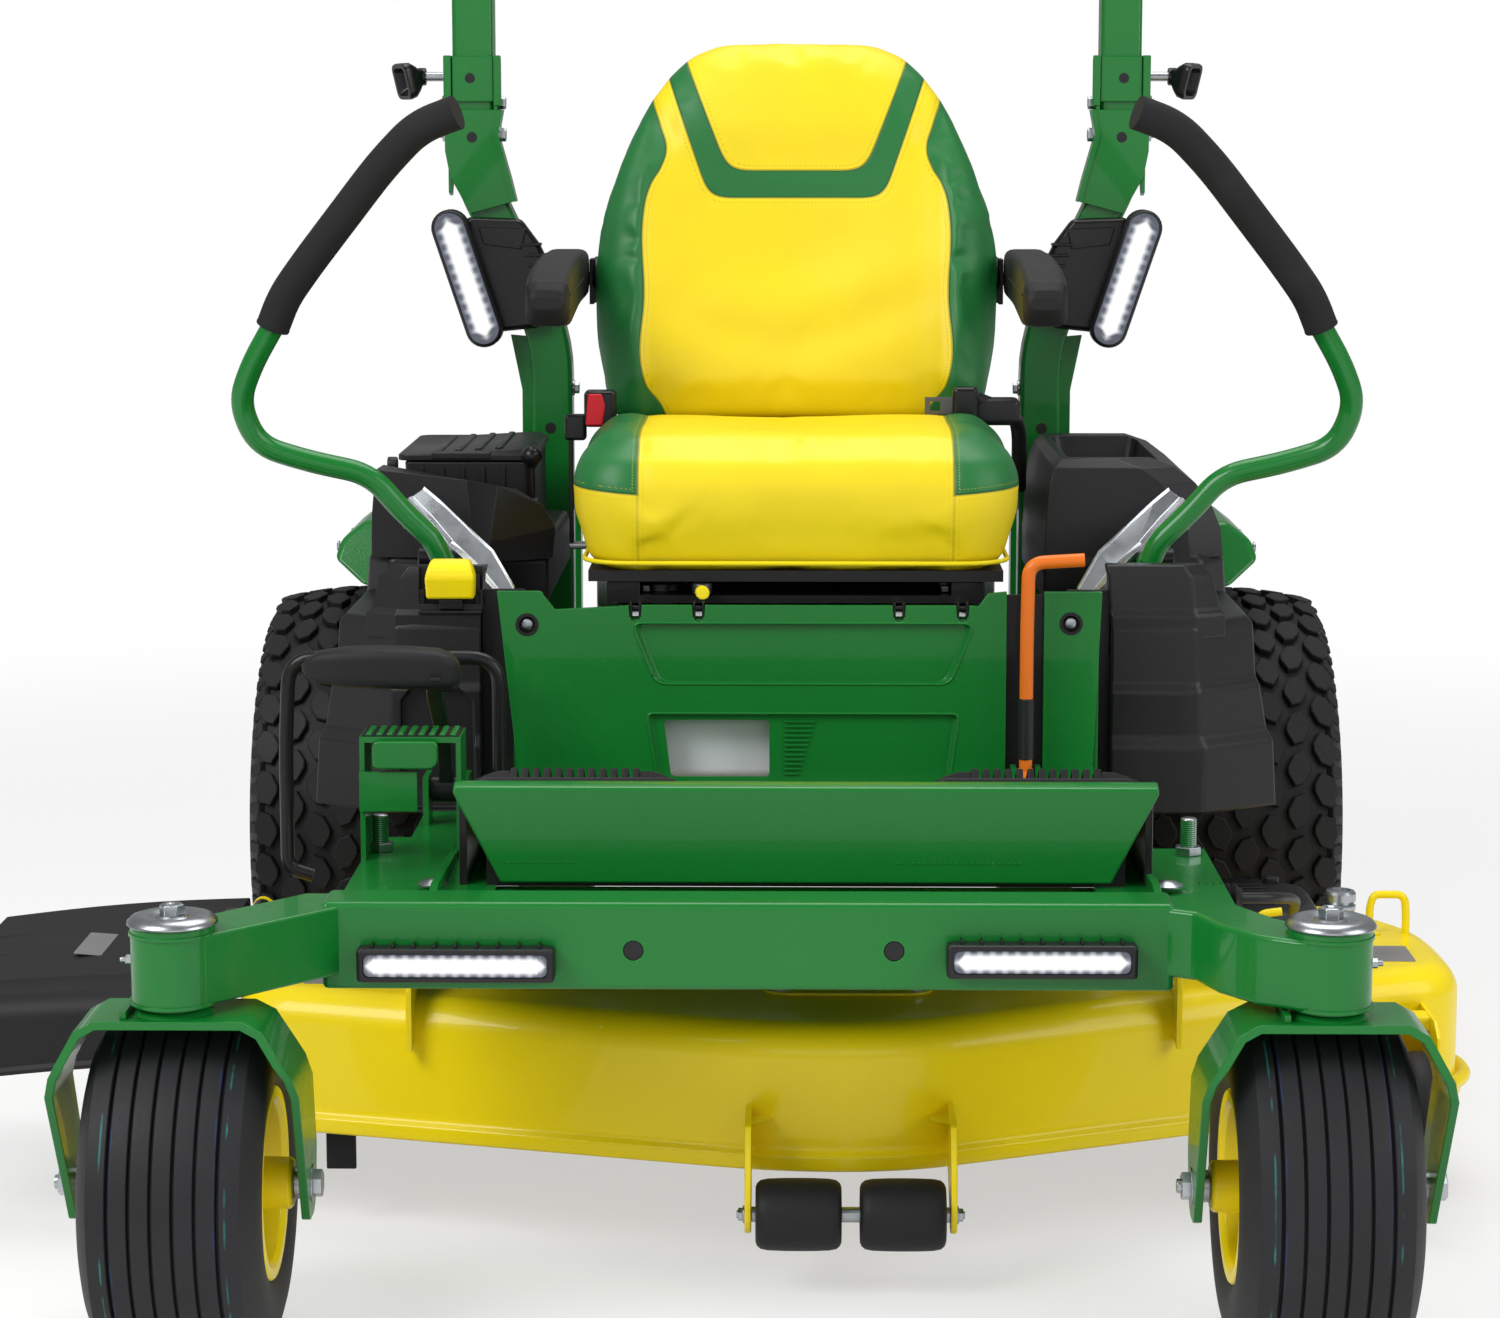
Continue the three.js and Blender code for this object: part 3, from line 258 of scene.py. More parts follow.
def chalkedTyre(key, centre):
    # tread rubber with the thin coloured marking lines that a new ribbed tyre carries
    look = rubber("caster_tyre_rubber_" + key, "tyre_rubber", tone(28, 28, 30), 0.6)
    across = abs(look.axes()[0] - (toRow @ centre).x)
    lines = [(0.056, tone(30, 120, 112), 0.8), (0.0465, tone(36, 58, 120), 0.35)]
    colour = look.mix(look.noise(9.0, 5), tone(22, 22, 24), tone(40, 40, 43))
    for spot, chalk, share in lines:
        line = 1 - look.step(abs(across - spot), 0.0004, 0.0012)
        patchy = look.step(look.noise(26.0, 3), 0.42, 0.6)
        colour = look.mix(line * patchy * share, colour, chalk)
    return look.set("Base Color", colour)


def ledLens(name, centre, along, pitch, reach, core):
    # clear cover over a row of diodes at an even pitch; the light fades across the lens
    look = Look(name, "lamp", {"Roughness": 0.12, "Emission Strength": 1.0,
                               "Base Color": (0.05, 0.055, 0.07)})
    offset = look.moved(toRow @ Vector(centre))
    run = look.node("ShaderNodeVectorMath", {"operation": "DOT_PRODUCT"}, {0: offset, 1: tuple(along)},
                    "Value")
    phase = run / (pitch * 0.001)
    cell = abs(phase - phase.math("ROUND", phase))
    length = look.node("ShaderNodeVectorMath", {"operation": "LENGTH"}, {0: offset}, "Value")
    square = (length * length - run * run).most(0)
    across = square.math("SQRT", square)
    beyond = (abs(run) - reach * 0.001).most(0)
    away = across + beyond
    shine = 1 - look.step(away, core * 0.0005, core * 0.0014)
    dots = (1 - look.step(cell, 0.05, 0.38)) * (1 - look.step(away, core * 0.001, core * 0.0019))
    halo = look.mix(dots * 0.6, (0.055, 0.06, 0.08), (0.62, 0.64, 0.72))
    look.set("Emission Color", look.mix(shine, halo, (1.15, 1.15, 1.12)))
    return look.set("Normal", look.bump(1 - cell, 0.0005, 0.4))


# ---- mesh tools, all in millimetres ----
class Part:
    def __init__(self):
        self.bm = bmesh.new()

    def add(self, other, turn=None):
        mesh = bpy.data.meshes.new("joined")
        other.bm.to_mesh(mesh)
        if turn is not None:
            mesh.transform(turn)
        self.bm.from_mesh(mesh)
        bpy.data.meshes.remove(mesh)
        return self

    def turned(self, matrix):
        bmesh.ops.transform(self.bm, matrix=matrix, verts=self.bm.verts)
        if matrix.determinant() < 0:
            bmesh.ops.reverse_faces(self.bm, faces=self.bm.faces)
        return self

    def moved(self, *step):
        return self.turned(Matrix.Translation(step))

    def tidied(self):
        bmesh.ops.remove_doubles(self.bm, verts=self.bm.verts, dist=0.02)
        bmesh.ops.recalc_face_normals(self.bm, faces=self.bm.faces)
        return self

    def rounded(self, edges, size, segments=2):
        bmesh.ops.bevel(self.bm, geom=list(edges), offset=size, offset_type="OFFSET", segments=segments,
                        profile=0.5, affect="EDGES", clamp_overlap=True, material=-1)
        return self


spin = {
    "x": Matrix.Rotation(math.pi / 2, 4, "Y"),
    "y": Matrix.Rotation(-math.pi / 2, 4, "X"),
    "z": Matrix.Identity(4),
}


def group(*parts):
    whole = Part()
    for part in parts:
        whole.add(part)
    return whole


def block(x0, x1, y0, y1, z0, z1, edge=1.5, segments=2):
    part = Part()
    middle = Vector((x0 + x1, y0 + y1, z0 + z1)) / 2
    size = Matrix.Diagonal((abs(x1 - x0), abs(y1 - y0), abs(z1 - z0), 1))
    bmesh.ops.create_cube(part.bm, size=1, matrix=Matrix.Translation(middle) @ size)
    return part.rounded(part.bm.edges, edge, segments) if edge else part


def spotOn(axis, u, v, w):
    return {"x": (w, u, v), "y": (u, w, v), "z": (u, v, w)}[axis]


def plate(axis, outline, low, high, edge=0.8, segments=2):
    # a flat outline (u, v) given thickness along one axis
    part = Part()
    corners = [part.bm.verts.new(spotOn(axis, u, v, low)) for u, v in outline]
    face = part.bm.faces.new(corners)
    pushed = bmesh.ops.extrude_face_region(part.bm, geom=[face])["geom"]
    far = [item for item in pushed if isinstance(item, bmesh.types.BMVert)]
    bmesh.ops.translate(part.bm, verts=far, vec=spotOn(axis, 0, 0, high - low))
    part.tidied()
    if edge:
        sharp = [e for e in part.bm.edges if e.calc_face_angle(0) > 0.5]
        part.rounded(sharp, edge, segments)
    return part


def ribbon(points, thickness):
    # outline of a bent strip of even thickness
    left, right = [], []
    for index, point in enumerate(points):
        before = Vector(points[max(index - 1, 0)])
        after = Vector(points[min(index + 1, len(points) - 1)])
        here = Vector(point)
        into = (here - before).normalized() if index else (after - here).normalized()
        out = (after - here).normalized() if index < len(points) - 1 else into
        along = (into + out).normalized()
        reach = thickness / 2 / max(along.dot(out), 0.4)
        side = Vector((-along.y, along.x)) * reach
        left.append(tuple(here + side))
        right.insert(0, tuple(here - side))
    return left + right


def arc(cu, cv, radius, start, end, steps=6):
    turns = [math.radians(start + (end - start) * i / steps) for i in range(steps + 1)]
    return [(cu + radius * math.cos(a), cv + radius * math.sin(a)) for a in turns]


def sided(side, points):  # a flat outline for the left or the right
    return [(side * u, v) for u, v in points]


def lathe(axis, centre, profile, steps=64, closed=False):
    # turns a profile of (along, radius) about an axis through the centre
    part = Part()
    spots = [part.bm.verts.new((radius, 0, along)) for along, radius in profile]
    pairs = list(zip(spots, spots[1:])) + ([(spots[-1], spots[0])] if closed else [])
    edges = [part.bm.edges.new(pair) for pair in pairs]
    bmesh.ops.spin(part.bm, geom=spots + edges, cent=(0, 0, 0), axis=(0, 0, 1), angle=2 * math.pi,
                   steps=steps, use_merge=True, use_duplicate=False)
    part.tidied()
    return part.turned(Matrix.Translation(centre) @ spin[axis])


def rod(start, end, radius, edge=0.8, count=24, far=None):
    part = Part()
    start, end = Vector(start), Vector(end)
    along = end - start
    turn = along.to_track_quat("Z", "Y").to_matrix().to_4x4()
    bmesh.ops.create_cone(part.bm, cap_ends=True, segments=count, radius1=radius, radius2=radius
                          if far is None else far, depth=along.length,
                          matrix=Matrix.Translation((start + end) / 2) @ turn)
    if edge:
        part.rounded([e for e in part.bm.edges if any(len(f.verts) == count for f in e.link_faces)], edge)
    return part


def axleRod(axis, low, high, beside, *shape):
    # a rod that runs along one axis, from low to high
    return rod(spotOn(axis, *beside, low), spotOn(axis, *beside, high), *shape)


def bolt(spot, out, size=8, head=None, washer=True, stud=0):
    # hex head on a washer, with its threaded end on the far side if it shows
    spot, out = Vector(spot), Vector(out).normalized()
    head = head or size * 0.65
    whole = Part()
    if washer:
        whole.add(rod(spot - out * 0.4, spot + out * 1.8, size * 1.25, 0.4, 28))
    whole.add(rod(spot + out * 1.4, spot + out * (1.8 + head), size * 0.95, 1.0, 6))
    if stud:
        whole.add(rod(spot + out * head, spot + out * (head + stud), size * 0.48, 1.0, 16))
    return whole


def bendAt(before, corner, after, bend, steps):
    # the points of a soft bend in place of a corner
    before, corner, after = Vector(before), Vector(corner), Vector(after)
    reach = min(bend, (corner - before).length * 0.48, (after - corner).length * 0.48)
    first = corner + (before - corner).normalized() * reach
    last = corner + (after - corner).normalized() * reach
    shares = [i / steps for i in range(steps + 1)]
    return [first * (1 - t) ** 2 + corner * 2 * t * (1 - t) + last * t * t for t in shares]


def bentPath(points, bend, steps=7):
    path = [Vector(points[0])]
    for corner in zip(points, points[1:], points[2:]):
        path += bendAt(*corner, bend, steps)
    return path + [Vector(points[-1])]


def tube(points, radius, bend=40, fine=5):
    # round bar or pipe along a bent path
    path = bentPath(points, bend)
    curve = bpy.data.curves.new("route", "CURVE")
    curve.dimensions = "3D"
    curve.bevel_depth = radius
    curve.bevel_resolution = fine
    curve.use_fill_caps = True
    line = curve.splines.new("POLY")
    line.points.add(len(path) - 1)
    for point, spot in zip(line.points, path):
        point.co = (*spot, 1)
    carrier = bpy.data.objects.new("route", curve)
    mesh = bpy.data.meshes.new_from_object(carrier)
    part = Part()
    part.bm.from_mesh(mesh)
    bpy.data.objects.remove(carrier)
    bpy.data.curves.remove(curve)
    bpy.data.meshes.remove(mesh)
    return part.tidied()


def loft(rings):
    # skins a row of rings that hold the same number of points
    part = Part()
    loops = []
    for ring in rings:
        spots = [part.bm.verts.new(point) for point in ring]
        loops.append([part.bm.edges.new((a, b)) for a, b in zip(spots, spots[1:] + spots[:1])])
    for first, second in zip(loops, loops[1:]):
        bmesh.ops.bridge_loops(part.bm, edges=first + second)
    for loop in (loops[0], loops[-1]):
        bmesh.ops.contextual_create(part.bm, geom=loop)
    return part.tidied()


def ringRound(x0, x1, y0, y1, z, radius, steps=6):
    corners = [(x1, y1, -1, -1, 0), (x0, y1, 1, -1, 90), (x0, y0, 1, 1, 180), (x1, y0, -1, 1, 270)]
    ring = []
    for x, y, sx, sy, start in corners:
        ring += [(u, v, z) for u, v in arc(x + sx * radius, y + sy * radius, radius, start, start + 90,
                steps)]
    return ring


def flatRound(u0, u1, v0, v1, radius, steps=5):
    return [(u, v) for u, v, z in ringRound(u0, u1, v0, v1, 0, radius, steps)]


def shown(part, name):
    mesh = bpy.data.meshes.new(name)
    part.bm.to_mesh(mesh)
    obj = bpy.data.objects.new(name, mesh)
    scene.collection.objects.link(obj)
    return obj


def combine(part, tool, operation="DIFFERENCE"):
    body, other = shown(part, "body_stock"), shown(tool, "tool_stock")
    cut = body.modifiers.new("cut", "BOOLEAN")
    cut.object, cut.operation, cut.solver = other, operation, "EXACT"
    mesh = bpy.data.meshes.new_from_object(body.evaluated_get(bpy.context.evaluated_depsgraph_get()))
    made = Part()
    made.bm.from_mesh(mesh)
    for stock in (body, other):
        old = stock.data
        bpy.data.objects.remove(stock)
        bpy.data.meshes.remove(old)
    bpy.data.meshes.remove(mesh)
    return made


def softened(node):
    # a merged copy of a frame node, whose edges the bevel then softens
    part = Part()
    part.bm.from_mesh(nodes[node].data)
    part.turned(fromRow)
    bmesh.ops.remove_doubles(part.bm, verts=part.bm.verts, dist=0.02)
    bmesh.ops.dissolve_limit(part.bm, angle_limit=math.radians(1), verts=part.bm.verts, edges=part.bm.edges)
    return part


def place(part, name, node, look, stands=(), bevel=0, segments=2, angle=32, smooth=38):
    # puts a finished part into the scene, riding with the body that holds a node
    part.turned(toRow)
    obj = shown(part, name)
    obj.data.materials.append(look.material)
    obj.data.shade_smooth()
    obj.data.set_sharp_from_angle(angle=math.radians(smooth))
    if bevel:
        rounding = obj.modifiers.new("soft_edges", "BEVEL")
        rounding.width, rounding.segments = bevel * 0.001, segments
        rounding.limit_method, rounding.angle_limit = "ANGLE", math.radians(angle)
        rounding.harden_normals = True
    obj.modifiers.new("even_shading", "WEIGHTED_NORMAL").keep_sharp = True
    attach(obj, bodyOf[node])
    if stands:
        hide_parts(*([stands] if isinstance(stands, str) else stands))
    return obj


def soften(node, look, bevel=1.2, smooth=38):
    place(softened(node), node + "_skin", node, look, node, bevel, smooth=smooth)


# ---- caster wheels, forks and the front axle ----
caster = {"tyreHalf": 82.5, "ribs": 7, "groove": 3.2, "depth": 6, "crown": 7, "trail": 65, "bolts": 4}
fork = {"half": 115, "plate": 8, "crown": 341}


def flipped(profile):  # the other end of an even profile
    return [(-along, radius) for along, radius in reversed(profile)]


def casterTyre(centre, radius):
    half = caster["tyreHalf"]
    tread = half - 14
    pitch = 2 * tread / caster["ribs"]
    wall = [(-70, 88.6), (-77, 91), (-80, 99), (-half, 112), (-half, 126), (-half + 3, 137),
            (-half + 8, 147), (-half + 11, 152)]
    profile = list(wall)
    for rib in range(caster["ribs"]):
        low = -tread + pitch * rib + (caster["groove"] / 2 if rib else 0)
        high = -tread + pitch * (rib + 1) - (caster["groove"] / 2 if rib < caster["ribs"] - 1 else 0)
        crown = [radius - caster["crown"] * (w / tread) ** 2 for w in (low, high)]
        profile += [(low, crown[0] - 0.8), (low + 0.9, crown[0]), (high - 0.9, crown[1]),
                    (high, crown[1] - 0.8)]
        if rib < caster["ribs"] - 1:
            floor = crown[1] - caster["depth"]
            profile += [(high + 0.4, floor + 0.6), (high + 1.2, floor),
                        (high + caster["groove"] - 0.6, floor)]
    return lathe("x", centre, profile + flipped(wall), 112, closed=True)


def casterRim(centre):
    half = [(-96, 9.6), (-96, 21), (-93, 24), (-40, 25), (-31, 30), (-27, 52), (-31, 62), (-58, 70),
            (-74, 74), (-78.5, 79), (-79, 88), (-76.5, 90.4), (-73, 90), (-69.4, 87.6)]
    return lathe("x", centre, half + flipped(half), 72, closed=True)


def hubBolts(centre, side, reach, radius, count, size):
    whole = Part()
    for i in range(count):
        turn = Matrix.Rotation(2 * math.pi * i / count, 4, "X")
        whole.add(bolt((side * reach, 0, radius), (side, 0, 0), size), Matrix.Translation(centre) @ turn)
    return whole


for key, side in sides:
    low, high = boxOf("caster_tyre_" + key)
    centre = (low + high) / 2
    pivotX = centre.x
    tyreNode = "caster_tyre_" + key
    forkNode = "fork_" + key
    place(casterTyre(centre, (high.z - low.z) / 2), "caster_tyre_ribbed_" + key, tyreNode,
          chalkedTyre(key, centre), "caster_tyre_" + key, smooth=50)
    place(casterRim(centre), "caster_rim_dished_" + key, tyreNode, yellowPaint, "caster_rim_" + key, 0.8)
    bolts = group(*[hubBolts(centre, s, 28.5, 42, caster["bolts"], 5) for s in (-1, 1)])
    place(bolts, "caster_rim_bolts_" + key, tyreNode, zincPlate, smooth=30)
    stem = rod(centre + Vector((side * 60, 0, 68)), centre + Vector((side * 84, 0, 62)), 3.4, 0.8, 16)
    place(stem, "caster_valve_stem_" + key, tyreNode, softRubber)

    # fork: one bent plate with narrowing legs
    half, crown = fork["half"], fork["crown"]
    bend = [(-half + 7, 132), (-half + 4, 270), (-half + 9, 289), (-82, 332), (-66, crown), (66, crown),
            (82, 332), (half - 9, 289), (half - 4, 270), (half - 7, 132)]
    sheetPlate = plate("y", [(pivotX + u, v) for u, v in ribbon(bend, fork["plate"])], -70, 130, 0)
    flank = [(-42, 362), (42, 362), (52, 322), (63, 276), (96, 196), *arc(66, 160, 30, 12, -122, 7),
             (34, 164), (-26, 268), (-42, 304)]
    flankPlate = plate("x", flank, pivotX - 200, pivotX + 200, 0)
    bentFork = combine(sheetPlate, flankPlate, "INTERSECT")
    bentFork.add(axleRod("z", 343, 351.4, (pivotX, 0), 30, 1.2, 40))
    place(bentFork, "fork_plate_" + key, forkNode, greenPaint, "fork_" + key, 1.6, 3)
    seam = lathe("z", (pivotX, 0, 0), [(344.6, 29), (344.6, 37), (345.4, 36), (349.5, 31.4), (350, 29)],
                 40, closed=True)
    place(seam, "fork_weld_" + key, forkNode, greenPaint, smooth=60)

    capTop = boxOf("fork_" + key)[1].z
    base = (fromRow @ axleHigh).z + 0.5
    dish = [(base, 0), (base, 40), (base + 1.2, 41), (base + 3.5, 40.6), (base + 7.2, 37),
            (base + 9.2, 31), (base + 8.6, 25), (base + 6.4, 20), (base + 5.8, 16), (base + 7, 14.5),
            (base + 8.2, 13.4), (base + 8.2, 0)]
    place(lathe("z", (pivotX, 0, 0), dish, 64), "caster_cap_" + key, forkNode, zincPlate, smooth=45)
    head = lathe("z", (pivotX, 0, 0), [(base + 8, 0), (base + 8, 11.6), (capTop - 1.4, 11.6),
                                       (capTop - 0.2, 9.6), (capTop - 0.2, 6), (capTop - 1.6, 4),
                                       (capTop - 1.8, 0)], 6)
    place(head, "caster_cap_bolt_" + key, forkNode, zincPlate, bevel=0.7, smooth=30)
    collar = axleRod("z", 351.2, 353, (pivotX, 0), 33, 0.5, 40)
    place(collar, "caster_seal_" + key, forkNode, softRubber)

    axleY, axleZ = caster["trail"], centre.z
    ends = Part()
    for s in (-1, 1):
        face = pivotX + s * (half - 2.4)
        ends.add(bolt((face, axleY, axleZ), (s, 0, 0), 14, 8, stud=6 if s < 0 else 0))
    place(ends, "caster_axle_ends_" + key, forkNode, zincPlate, smooth=30)
    spacers = group(*[axleRod("x", pivotX + s * 97, pivotX + s * 107.5, (axleY, axleZ), 15, 0.8, 28)
                      for s in (-1, 1)], axleRod("x", pivotX - 107, pivotX + 107, (axleY, axleZ), 8.6,
            0.5, 20))
    place(spacers, "caster_axle_spacers_" + key, forkNode, zincPlate)
    gusset = plate("x", [(36, 352), (36, 345), (-34, 345), (-34, 352)], pivotX - 44, pivotX - 38, 0.6)
    place(gusset, "fork_crown_tab_" + key, forkNode, greenPaint)

print("casters done")

# front axle: beam, curved arms and the two pivot barrels
beam = {"front": 100, "back": 160, "low": 340, "high": 423, "left": -440, "right": 352,
        "holes": (-150, 92), "holeZ": 378}
barrel = {"low": 352, "high": 425}


def armPlate(pivotX, side, curve, edge):
    # the outline is given from the pivot towards the middle of the machine
    outline = [(pivotX - side * inward, y) for inward, y in curve]
    return plate("z", outline, barrel["low"] + 2, barrel["high"] - 6, edge, 3)


def casterArm(pivotX, side):
    curve = [(-4, -33), (30, -30), (66, -6), (96, 38), (112, 86), (140, 103), (140, beam["back"]),
             (92, beam["back"]), (66, 118), (40, 66), (8, 30), (-18, 14)]
    return armPlate(pivotX, side, curve, 5)


def castArm(pivotX, side):
    curve = [(-6, -31), (26, -27), (140, beam["front"] + 4), (140, beam["back"]), (98, beam["back"]),
             (-20, 18)]
    return armPlate(pivotX, side, curve, 3)


pivots = {key: middleOf("caster_tyre_" + key).x for key, side in sides}
mainBeam = block(beam["left"], beam["right"], beam["front"], beam["back"], beam["low"], beam["high"], 6, 3)
mainBeam = combine(mainBeam, block(beam["left"] - 5, beam["left"] + 60, 106, 154, 346, 417, 3))
for x in beam["holes"]:
    mainBeam = combine(mainBeam, axleRod("y", 90, 112, (x, beam["holeZ"]), 9.5, 0, 32))
place(mainBeam, "axle_beam", "front_axle", greenPaint, "front_axle", 0.8, 2)
place(group(castArm(pivots["left"], -1), casterArm(pivots["right"], 1)), "axle_arms", "front_axle",
      greenPaint)
for key, side in sides:
    x = pivots[key]
    ring = [(barrel["low"], 14), (barrel["low"], 37.2), (barrel["low"] + 1, 38), (barrel["high"] - 1, 38),
            (barrel["high"], 37.2), (barrel["high"], 14)]
    place(lathe("z", (x, 0, 0), ring, 64, closed=True), "pivot_barrel_" + key, "front_axle", greenPaint,
          smooth=40)
    bead = Part()
    for level in (barrel["low"] + 3, barrel["high"] - 7):
        section = [(level - 2.4, 36), (level - 1.4, 39.6), (level + 1.4, 39.6), (level + 2.4, 36)]
        bead.add(lathe("z", (x, 0, 0), section, 64, closed=True))
    place(bead, "barrel_bead_" + key, "front_axle", greenPaint, smooth=70)
    nipple = group(axleRod("x", x + side * 36, x + side * 43, (0, 392), 4.6, 0.5, 6),
                   axleRod("x", x + side * 42, x + side * 48, (0, 392), 2.6, 0.8, 14))
    place(nipple, "grease_nipple_" + key, "front_axle", zincPlate)
for key, x in zip(("left", "right"), beam["holes"]):
    place(axleRod("y", 101, 106, (x, beam["holeZ"]), 9, 0.4), "beam_hole_plug_" + key, "front_axle",
          blackPlastic)
# painted shade: a black sheet 20 mm inside the hollow left end of the green beam stands in for the shade in
# the open tube
boreShadeSheet = block(beam["left"] + 20, beam["left"] + 22, 107, 153, 347, 416, 0.4)
place(boreShadeSheet, "beam_end_painted_shade", "front_axle", blackPaint)
print("front axle done")


# ---- rear wheels ----
rear = {"half": 122.5, "lugRows": (-96, -64, -32, 0, 32, 64, 96), "lugs": 34, "lugHeight": 9, "crown": 13,
        "seat": 158, "studs": 5}


def crownAt(across, top):
    return top - rear["crown"] * (across / 105) ** 2


def lugBlock(flip):
    outline = [(-14.5, -6), (-6, -21), (6, -17), (14.5, -2), (14.5, 7), (6, 21), (-6, 17), (-14.5, 2)]
    shape = plate("z", [(flip * u, v) for u, v in outline], -rear["lugHeight"], 0, 0)
    top = [e for e in shape.bm.edges if all(v.co.z > -0.1 for v in e.verts)]
    return shape.rounded(top, 1.2, 1)


def rearTyre(centre, radius):
    half, seat = rear["half"], rear["seat"]
    carcass = radius - rear["lugHeight"] + 1.2
    wall = [(-98, seat + 0.4), (-112, seat + 6), (-119, seat + 20), (-half, seat + 44),
            (-half + 1, seat + 66), (-half + 8, seat + 86)]
    tread = [(w, crownAt(w, carcass)) for w in (-108, -92, -70, -46, -23, 0, 23, 46, 70, 92, 108)]
    tyre = lathe("x", (0, 0, 0), wall + tread + flipped(wall), 96, closed=True)
    for row, across in enumerate(rear["lugRows"]):
        shape = lugBlock(1 if row % 2 else -1)
        lean = Matrix.Rotation(math.atan(2 * rear["crown"] * across / 105 ** 2), 4, "Y")
        lift = Matrix.Translation((across, 0, crownAt(across, radius)))
        for i in range(rear["lugs"]):
            turn = 2 * math.pi * (i + (0.5 if row % 2 else 0)) / rear["lugs"]
            tyre.add(shape, Matrix.Rotation(turn, 4, "X") @ lift @ lean)
    shoulder = block(-13, 13, -7, 7, -9, 0, 1.5, 1)
    for s in (-1, 1):
        for i in range(rear["lugs"] * 2):
            turn = 2 * math.pi * i / (rear["lugs"] * 2)
            spot = Matrix.Translation((s * 112, 0, radius - 25)) @ Matrix.Rotation(s * 1.0, 4, "Y")
            tyre.add(shoulder, Matrix.Rotation(turn, 4, "X") @ spot)
    return tyre.moved(*centre)


def rearRim(centre, side):
    seat = rear["seat"]
    lip = [(-106, seat - 6), (-110, seat + 4), (-106, seat + 7), (-102, seat + 3), (-97, seat - 0.6)]
    inside = [(-92, 23), (-92, 60), (20, 60), (26, 104), (18, 118), (-40, 132), (-88, 136),
              (-100, seat - 14)]
    outside = [(99, seat - 14), (66, seat - 20), (50, 122), (41, 108), (36, 80), (38, 60), (60, 46),
               (64, 40), (64, 23)]
    profile = inside + lip + flipped(lip) + outside
    return lathe("x", centre, sided(side, profile), 80, closed=True)


for key, side in sides:
    low, high = boxOf("rear_tyre_" + key)
    centre = (low + high) / 2
    centre.z = middleOf("rear_rim_" + key).z
    wheel = "rear_tyre_" + key
    place(rearTyre(centre, centre.z), "rear_tyre_treaded_" + key, wheel, tyreRubber, "rear_tyre_" + key,
          smooth=35)
    place(rearRim(centre, side), "rear_rim_dished_" + key, wheel, yellowPaint, "rear_rim_" + key, 1.0)
    nuts = hubBolts(centre, side, 38, 84, rear["studs"], 9)
    place(nuts, "rear_wheel_nuts_" + key, wheel, zincPlate, smooth=30)
    hubLine = [(60, 0), (60, 41), (66, 40), (68, 36), (67, 24), (75, 20), (77, 15), (77, 0)]
    hub = lathe("x", centre, sided(side, hubLine), 48)
    place(hub, "rear_hub_" + key, wheel, castAlloy, smooth=35)
    nut = rod(centre + Vector((side * 76, 0, 0)), centre + Vector((side * 92, 0, 0)), 16, 1.2, 6)
    place(nut, "rear_hub_nut_" + key, wheel, zincPlate, smooth=30)
    stem = rod(centre + Vector((side * 70, 0, 122)), centre + Vector((side * 98, 0, 116)), 4, 0.8, 16)
    place(stem, "rear_valve_stem_" + key, wheel, softRubber)
    soften("transaxle_" + key, castAlloy, 3)
    fins = Part()
    inner = 250 if side > 0 else -345
    for i in range(7):
        y = centre.y - 118 + i * 34
        fins.add(block(inner + 2, inner + 93, y, y + 6, 186, 191, 1))
    place(fins, "transaxle_fins_" + key, "transaxle_" + key, castAlloy)
    fan = lathe("z", ((inner + inner + 95) / 2, centre.y - 60, 0),
                [(324, 0), (324, 40), (330, 42), (336, 40), (338, 16), (338, 0)], 32)
    place(fan, "transaxle_fan_" + key, "transaxle_" + key, smoothPlastic)
print("rear wheels done")


# ---- main frame, foot platform and front panel ----
chassis = "main_frame"
soften("main_frame", greenPaint, 2)

domeHead = [(0, 0), (0, 15), (1.5, 15), (2.4, 13), (4.6, 9), (6, 4), (6.2, 0)]
domeSpots = ((-432, 206, 400.5), (-352, 262, 405.5), (361, 262, 405.5), (378, 206, 400.5))
domes = group(*[lathe("z", spot, domeHead, 36) for spot in domeSpots])
place(domes, "frame_carriage_bolts", chassis, zincPlate, smooth=50)


def threaded(spot, length, radius):
    # an upright stud with its rolled thread
    pitch = 2.2
    profile = [(0, 0)]
    for i in range(int(length / pitch)):
        profile += [(i * pitch, radius - 0.8), (i * pitch + pitch / 2, radius)]
    profile += [(length, radius - 0.8), (length + 0.8, 0)]
    return lathe("z", spot, profile, 24)


for key, x, y in (("left", -424, 450), ("right", 400, 440)):
    place(threaded((x, y, 400), 38, 8.4), "height_stud_" + key, chassis, zincPlate, smooth=80)
    place(axleRod("z", 400.2, 409, (x, y), 14, 1, 6), "height_nut_" + key, chassis, zincPlate, smooth=30)

bellows = [(0, 0), (0, 9)]
for i in range(6):
    bellows += [(4 + i * 7, 15), (7.5 + i * 7, 10)]
bellows += [(46, 9), (46, 0)]
place(lathe("x", (392, 300, 386), bellows, 36), "cable_bellows", chassis, softRubber, smooth=60)
place(tube([(436, 300, 386), (470, 310, 384), (500, 360, 372), (505, 420, 345)], 5.5, 30), "cable_sleeve",
      chassis, blackPlastic)
place(group(axleRod("x", 386, 394, (300, 386), 11, 1, 6), axleRod("x", 380, 388, (300, 386), 5, 0.6)),
      "cable_end_nut", chassis, zincPlate, smooth=30)
gussets = Part()
for side in (-1, 1):
    outline = [(162, 404), (162, 412), (205, 420), (300, 416), (440, 410), (440, 404)]
    gussets.add(plate("x", outline, side * 344 - 4, side * 344 + 4, 1.2))
    gussets.add(block(side * 352 - 14, side * 352 + 14, 252, 330, 401, 405, 1))
place(gussets, "frame_gussets", chassis, greenPaint)

# footplate and its two ridged pads
soften("footplate", greenPaint, 3.2)
pad = {"teeth": 12, "toothHigh": 10.5, "thick": 11.5, "slope": -28.49, "start": 282, "length": 155}


